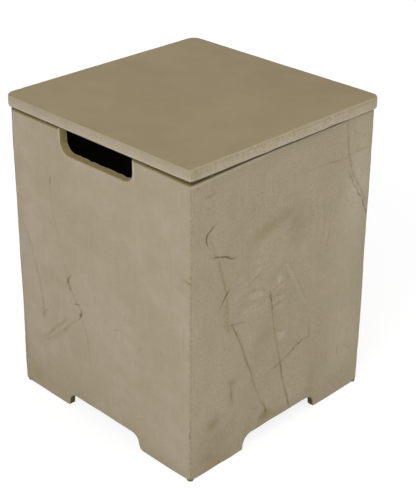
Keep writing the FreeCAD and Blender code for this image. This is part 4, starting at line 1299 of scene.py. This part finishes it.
# %% Crack lines
def crack_marks(recipe):
    """Shares of dark line and of olive halo that all crack layers give together. Two quick patterns jag the
    line, a slow one makes it thick and thin, and another breaks it with gaps."""
    jag = 1.8 * (recipe.noise(120, 3) - 0.5) + 1.5 * (recipe.noise(520, 2) - 0.5)
    thick = recipe.noise(75, 2)
    gaps = recipe.noise(95, 3, roughness=0.7).rise(0.32, 0.58)
    lines, halos = [], []
    for layer in CRACKS:
        distance, strength = recipe.parts(layer, 2)
        gap = (distance + jag).size()
        shown = strength * (0.35 + 0.65 * gaps)
        width = 0.25 + shown * (0.3 + 0.9 * thick)
        lines.append((gap / width).rise(1.25, 0.3) * (shown * 1.4).rise(0.0, 1.0))
        halos.append((gap / 3.2).rise(1.1, 0.0) * shown)
    return functools.reduce(Wire.most, lines), functools.reduce(Wire.most, halos)


# %% Recipe of the box
def box_stone():
    recipe = Recipe("cast_stone_box")
    colour, streak, fine, _ = stone_body(recipe)
    olive, grime_and_shade, pale_and_light = recipe.parts("stain")
    wear, cut, rough = recipe.parts("form")
    rim_shade_band, rim_shade_core, lip = recipe.parts("rim")
    warm, vein = recipe.parts("light", 2)
    inside, arch_cut, fold = recipe.parts("within")
    broken = recipe.noise(60, 5, roughness=0.7)
    patchy = recipe.noise(190, 4, roughness=0.65)
    wrinkle = recipe.noise(230, 3, (1, 1, 0.75), 0.55, 1.2)
    brushed = recipe.noise(640, 3, (1, 1, 0.6), 0.7, 1.0)
    bead = recipe.noise(300, 2).rise(0.36, 0.62)
    line, halo = crack_marks(recipe)
    fold_light_shade = fold * (0.05 + 0.75 * bead + 0.5 * patchy)
    rubbed = (wear * (0.35 + 1.1 * patchy)).rise(0.5, 1.0)
    rough = 0.15 + rough
    tone = 1.0 - 0.016 * warm + (0.07 * warm + 0.18 * rough) * (wrinkle - 0.5)
    tone += (0.6 * warm + 0.4 * rough) * (brushed - 0.5)
    colour = recipe.shade(recipe.mix(colour, WARM_CLAY, 0.25 * warm), tone)
    layers = [
        (STAIN_AND_SHADE, (olive * (0.45 + 1.1 * broken) - 0.08).rise(0.0, 1.25) * 0.9),
        (STAIN_AND_SHADE, (vein * (0.1 + 1.1 * patchy + 0.6 * bead)).rise(0.1, 1.25) * 0.95),
        # Grime spots, a darker line at the foot, and painted shade along the upright edges.
        (GRIME_AND_SHADE, (grime_and_shade * (0.2 + 0.9 * patchy + 0.5 * bead)).rise(0.08, 1.0) * 0.8),
        # Pale patches, with painted light just under the rim's band.
        (WORN_AND_LIGHT, (pale_and_light * (0.4 + 1.1 * broken)).rise(0.1, 1.3) * 0.55),
        # Painted highlight on the ridges and painted shade in the grooves of the scraped folds.
        (WORN_AND_LIGHT, fold_light_shade.rise(0.1, 1.1) * 0.34),
        (STAIN_AND_SHADE, (0.0 - fold_light_shade).rise(0.1, 1.1) * 0.62),
        (CRACK_OLIVE, halo * 0.8),
        (CRACK_DARK, line * 0.8),
        (WORN_AND_LIGHT, rubbed * 0.3),
        # Painted shade under the lid: its overhang's band and the dark line of the gap.
        (RIM_SHADE_OLIVE, rim_shade_band * (0.65 + 0.5 * patchy)),
        (GAP_SHADE_DARK, rim_shade_core * 0.95),
        (recipe.shade(CUT_OLIVE, 0.85 + 0.3 * patchy), cut.rise(0.1, 0.8)),
        # Painted shade on the cut faces under the arch.
        (recipe.shade(ARCH_SHADE, 0.6 + 0.8 * patchy), arch_cut.rise(0.3, 1.0) * 0.8),
        # Inside: raw casting darkened with painted shade.
        (recipe.shade(BARE_AND_SHADED_INSIDE, 0.7 + 0.6 * patchy), inside),
        # Painted highlight on the notch's inner lip.
        (CREAM, lip * (0.6 + 0.8 * patchy)),
    ]
    height = 0.3 * streak + 0.5 * fine + 0.5 * brushed + (1.2 * wrinkle + 0.7 * brushed) * rough - 1.6 * line
    gloss = 0.78 + 0.16 * patchy - 0.1 * rubbed
    normal = recipe.bump(height, 0.45 * MM, 0.8)
    colour = recipe.coats(colour, layers)
    return recipe.finish(Base_Color=colour, Roughness=gloss, Specular_IOR_Level=0.25, Normal=normal)


# %% Recipe of the lid
def lid_stone():
    recipe = Recipe("cast_stone_lid")
    colour, _, fine, grain = stone_body(recipe)
    edge_top, edge_low_highlight, top = recipe.parts("form")
    crease_shade, sunny, near_crease = recipe.parts("stain")
    under_edge, low_half, low_gap_shade = recipe.parts("side")
    patchy = recipe.noise(190, 4, roughness=0.65)
    scratch = recipe.noise(620, 4, (0.05, 0.05, 1), 0.7)
    drift = recipe.noise(9, 4, roughness=0.6).rise(0.3, 0.7)
    fleck = recipe.noise(420, 3)
    smooth_tone = 0.97 + 0.05 * (fleck - 0.5) + 0.05 * recipe.noise(60, 4)
    smooth = recipe.shade(recipe.mix(TOP_CLAY, TOP_DARK, drift), smooth_tone)
    # Painted light: the scraped sides are lighter on the right and left.
    scraped = recipe.shade(colour, 0.98 + 0.13 * sunny + 0.4 * (scratch - 0.5))
    layers = [
        (STAIN_AND_SHADE, patchy.rise(0.42, 0.62) * (0.1 + 0.3 * sunny)),
        (WORN_AND_LIGHT, low_half * (0.08 + 0.25 * patchy)),
        (STAIN_AND_SHADE, near_crease * 0.4),
        (smooth, top.rise(0.15, 0.6)),
        (STAIN_AND_SHADE, (edge_top * (1 - sunny)).rise(0.3, 1.0) * 0.5),
        (STAIN_AND_SHADE, (under_edge * (0.5 + patchy)).rise(0.3, 1.0) * (0.1 + 0.3 * sunny)),
        (CREAM, (edge_top * (0.45 + patchy) * sunny).rise(0.3, 1.0) * 0.22),
        # Painted highlight along the lid's lower edge.
        (CREAM, (edge_low_highlight * (0.6 + 0.8 * patchy)).rise(0.2, 0.8) * (0.7 - 0.35 * sunny)),
        # Painted shade of the gap along the lid's lower edge.
        (GAP_SHADE_DARK, low_gap_shade * (0.75 + 0.25 * sunny)),
        # Painted shade down the lid's upright corners.
        (STAIN_AND_SHADE, (crease_shade * (0.5 + patchy)).rise(0.3, 1.0) * 0.6),
    ]
    height = 0.3 * fine + 0.2 * grain + (0.9 * scratch + 0.4 * patchy) * (1 - top)
    rough = 0.66 + 0.2 * patchy - 0.06 * top
    normal = recipe.bump(height, 0.25 * MM, 0.7)
    colour = recipe.coats(scraped, layers)
    return recipe.finish(Base_Color=colour, Roughness=rough, Specular_IOR_Level=0.3, Normal=normal)


CASTINGS = [
    (cast_box, box_stone(), "body_shell", "body"),
    (lid, lid_stone(), "lid_slab", "lid"),
]
for piece, finish, node, body in CASTINGS:
    piece.data.materials.append(finish)
    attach(piece, body)
    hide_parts(node)
    print(piece.name, "stands for", node, "with", len(finish.node_tree.nodes), "nodes in its recipe")

# %% [markdown]
# ## The small fittings
# Pads, bumpers, guides, screws and inserts keep their CAD shapes, which are right as they are. They only
# show when the lid is lifted off, and get finishes of their own: rubber with a dull bloom, moulded plastic
# with a fine etched skin, turned steel and brass.

# %% Colours of the fittings
RUBBER, BLOOM = linear(84, 78, 66), linear(134, 124, 102)
PLASTIC, SCUFFED = linear(46, 47, 48), linear(104, 103, 100)
STEEL, DULL_STEEL = linear(196, 197, 200), linear(140, 138, 134)
BRASS, DULL_BRASS = linear(214, 178, 104), linear(150, 118, 62)
LATHE_STRETCH = (1, 1, 0.1)
print("darkest fitting:", [round(part, 3) for part in PLASTIC[:3]])


# %% Rubber, plastic and metal
def pad_rubber():
    recipe = Recipe("pad_rubber")
    dust = recipe.noise(140, 4, roughness=0.7).rise(0.3, 0.7)
    skin = recipe.noise(2600, 2)
    colour = recipe.mix(RUBBER, BLOOM, 0.35 + 0.5 * dust)
    height = recipe.bump(skin + dust, 0.06 * MM, 0.6)
    return recipe.finish(Base_Color=colour, Roughness=0.78 + 0.15 * dust, Normal=height)


def guide_plastic():
    recipe = Recipe("guide_plastic")
    skin = recipe.noise(3200, 3, roughness=0.6)
    scuff = recipe.noise(260, 4, (1, 1, 0.2), 0.7).rise(0.58, 0.75)
    colour = recipe.mix(PLASTIC, SCUFFED, 0.4 * scuff)
    height = recipe.bump(skin, 0.05 * MM, 0.6)
    return recipe.finish(Base_Color=colour, Roughness=0.48 + 0.2 * scuff, Normal=height)


def turned_metal(name, bright, dull):
    recipe = Recipe(name)
    lathe = recipe.noise(2400, 3, LATHE_STRETCH, 0.6)
    tarnish = recipe.noise(420, 4, roughness=0.65).rise(0.4, 0.75)
    colour = recipe.mix(bright, dull, 0.6 * tarnish)
    height = recipe.bump(lathe, 0.03 * MM, 0.5)
    rough = 0.3 + 0.2 * tarnish + 0.1 * lathe
    return recipe.finish(Base_Color=colour, Metallic=1.0, Roughness=rough, Normal=height)


FITTINGS = {
    "pad": pad_rubber(),
    "bumper": pad_rubber(),
    "guide": guide_plastic(),
    "screws": turned_metal("screw_steel", STEEL, DULL_STEEL),
    "inserts": turned_metal("insert_brass", BRASS, DULL_BRASS),
}
for name, node in frame["nodes"].items():
    kind = next((kind for kind in FITTINGS if kind in name), None)
    if kind:
        for slot in node.material_slots:
            slot.material = FITTINGS[kind]
        print(name, "gets", FITTINGS[kind].name)
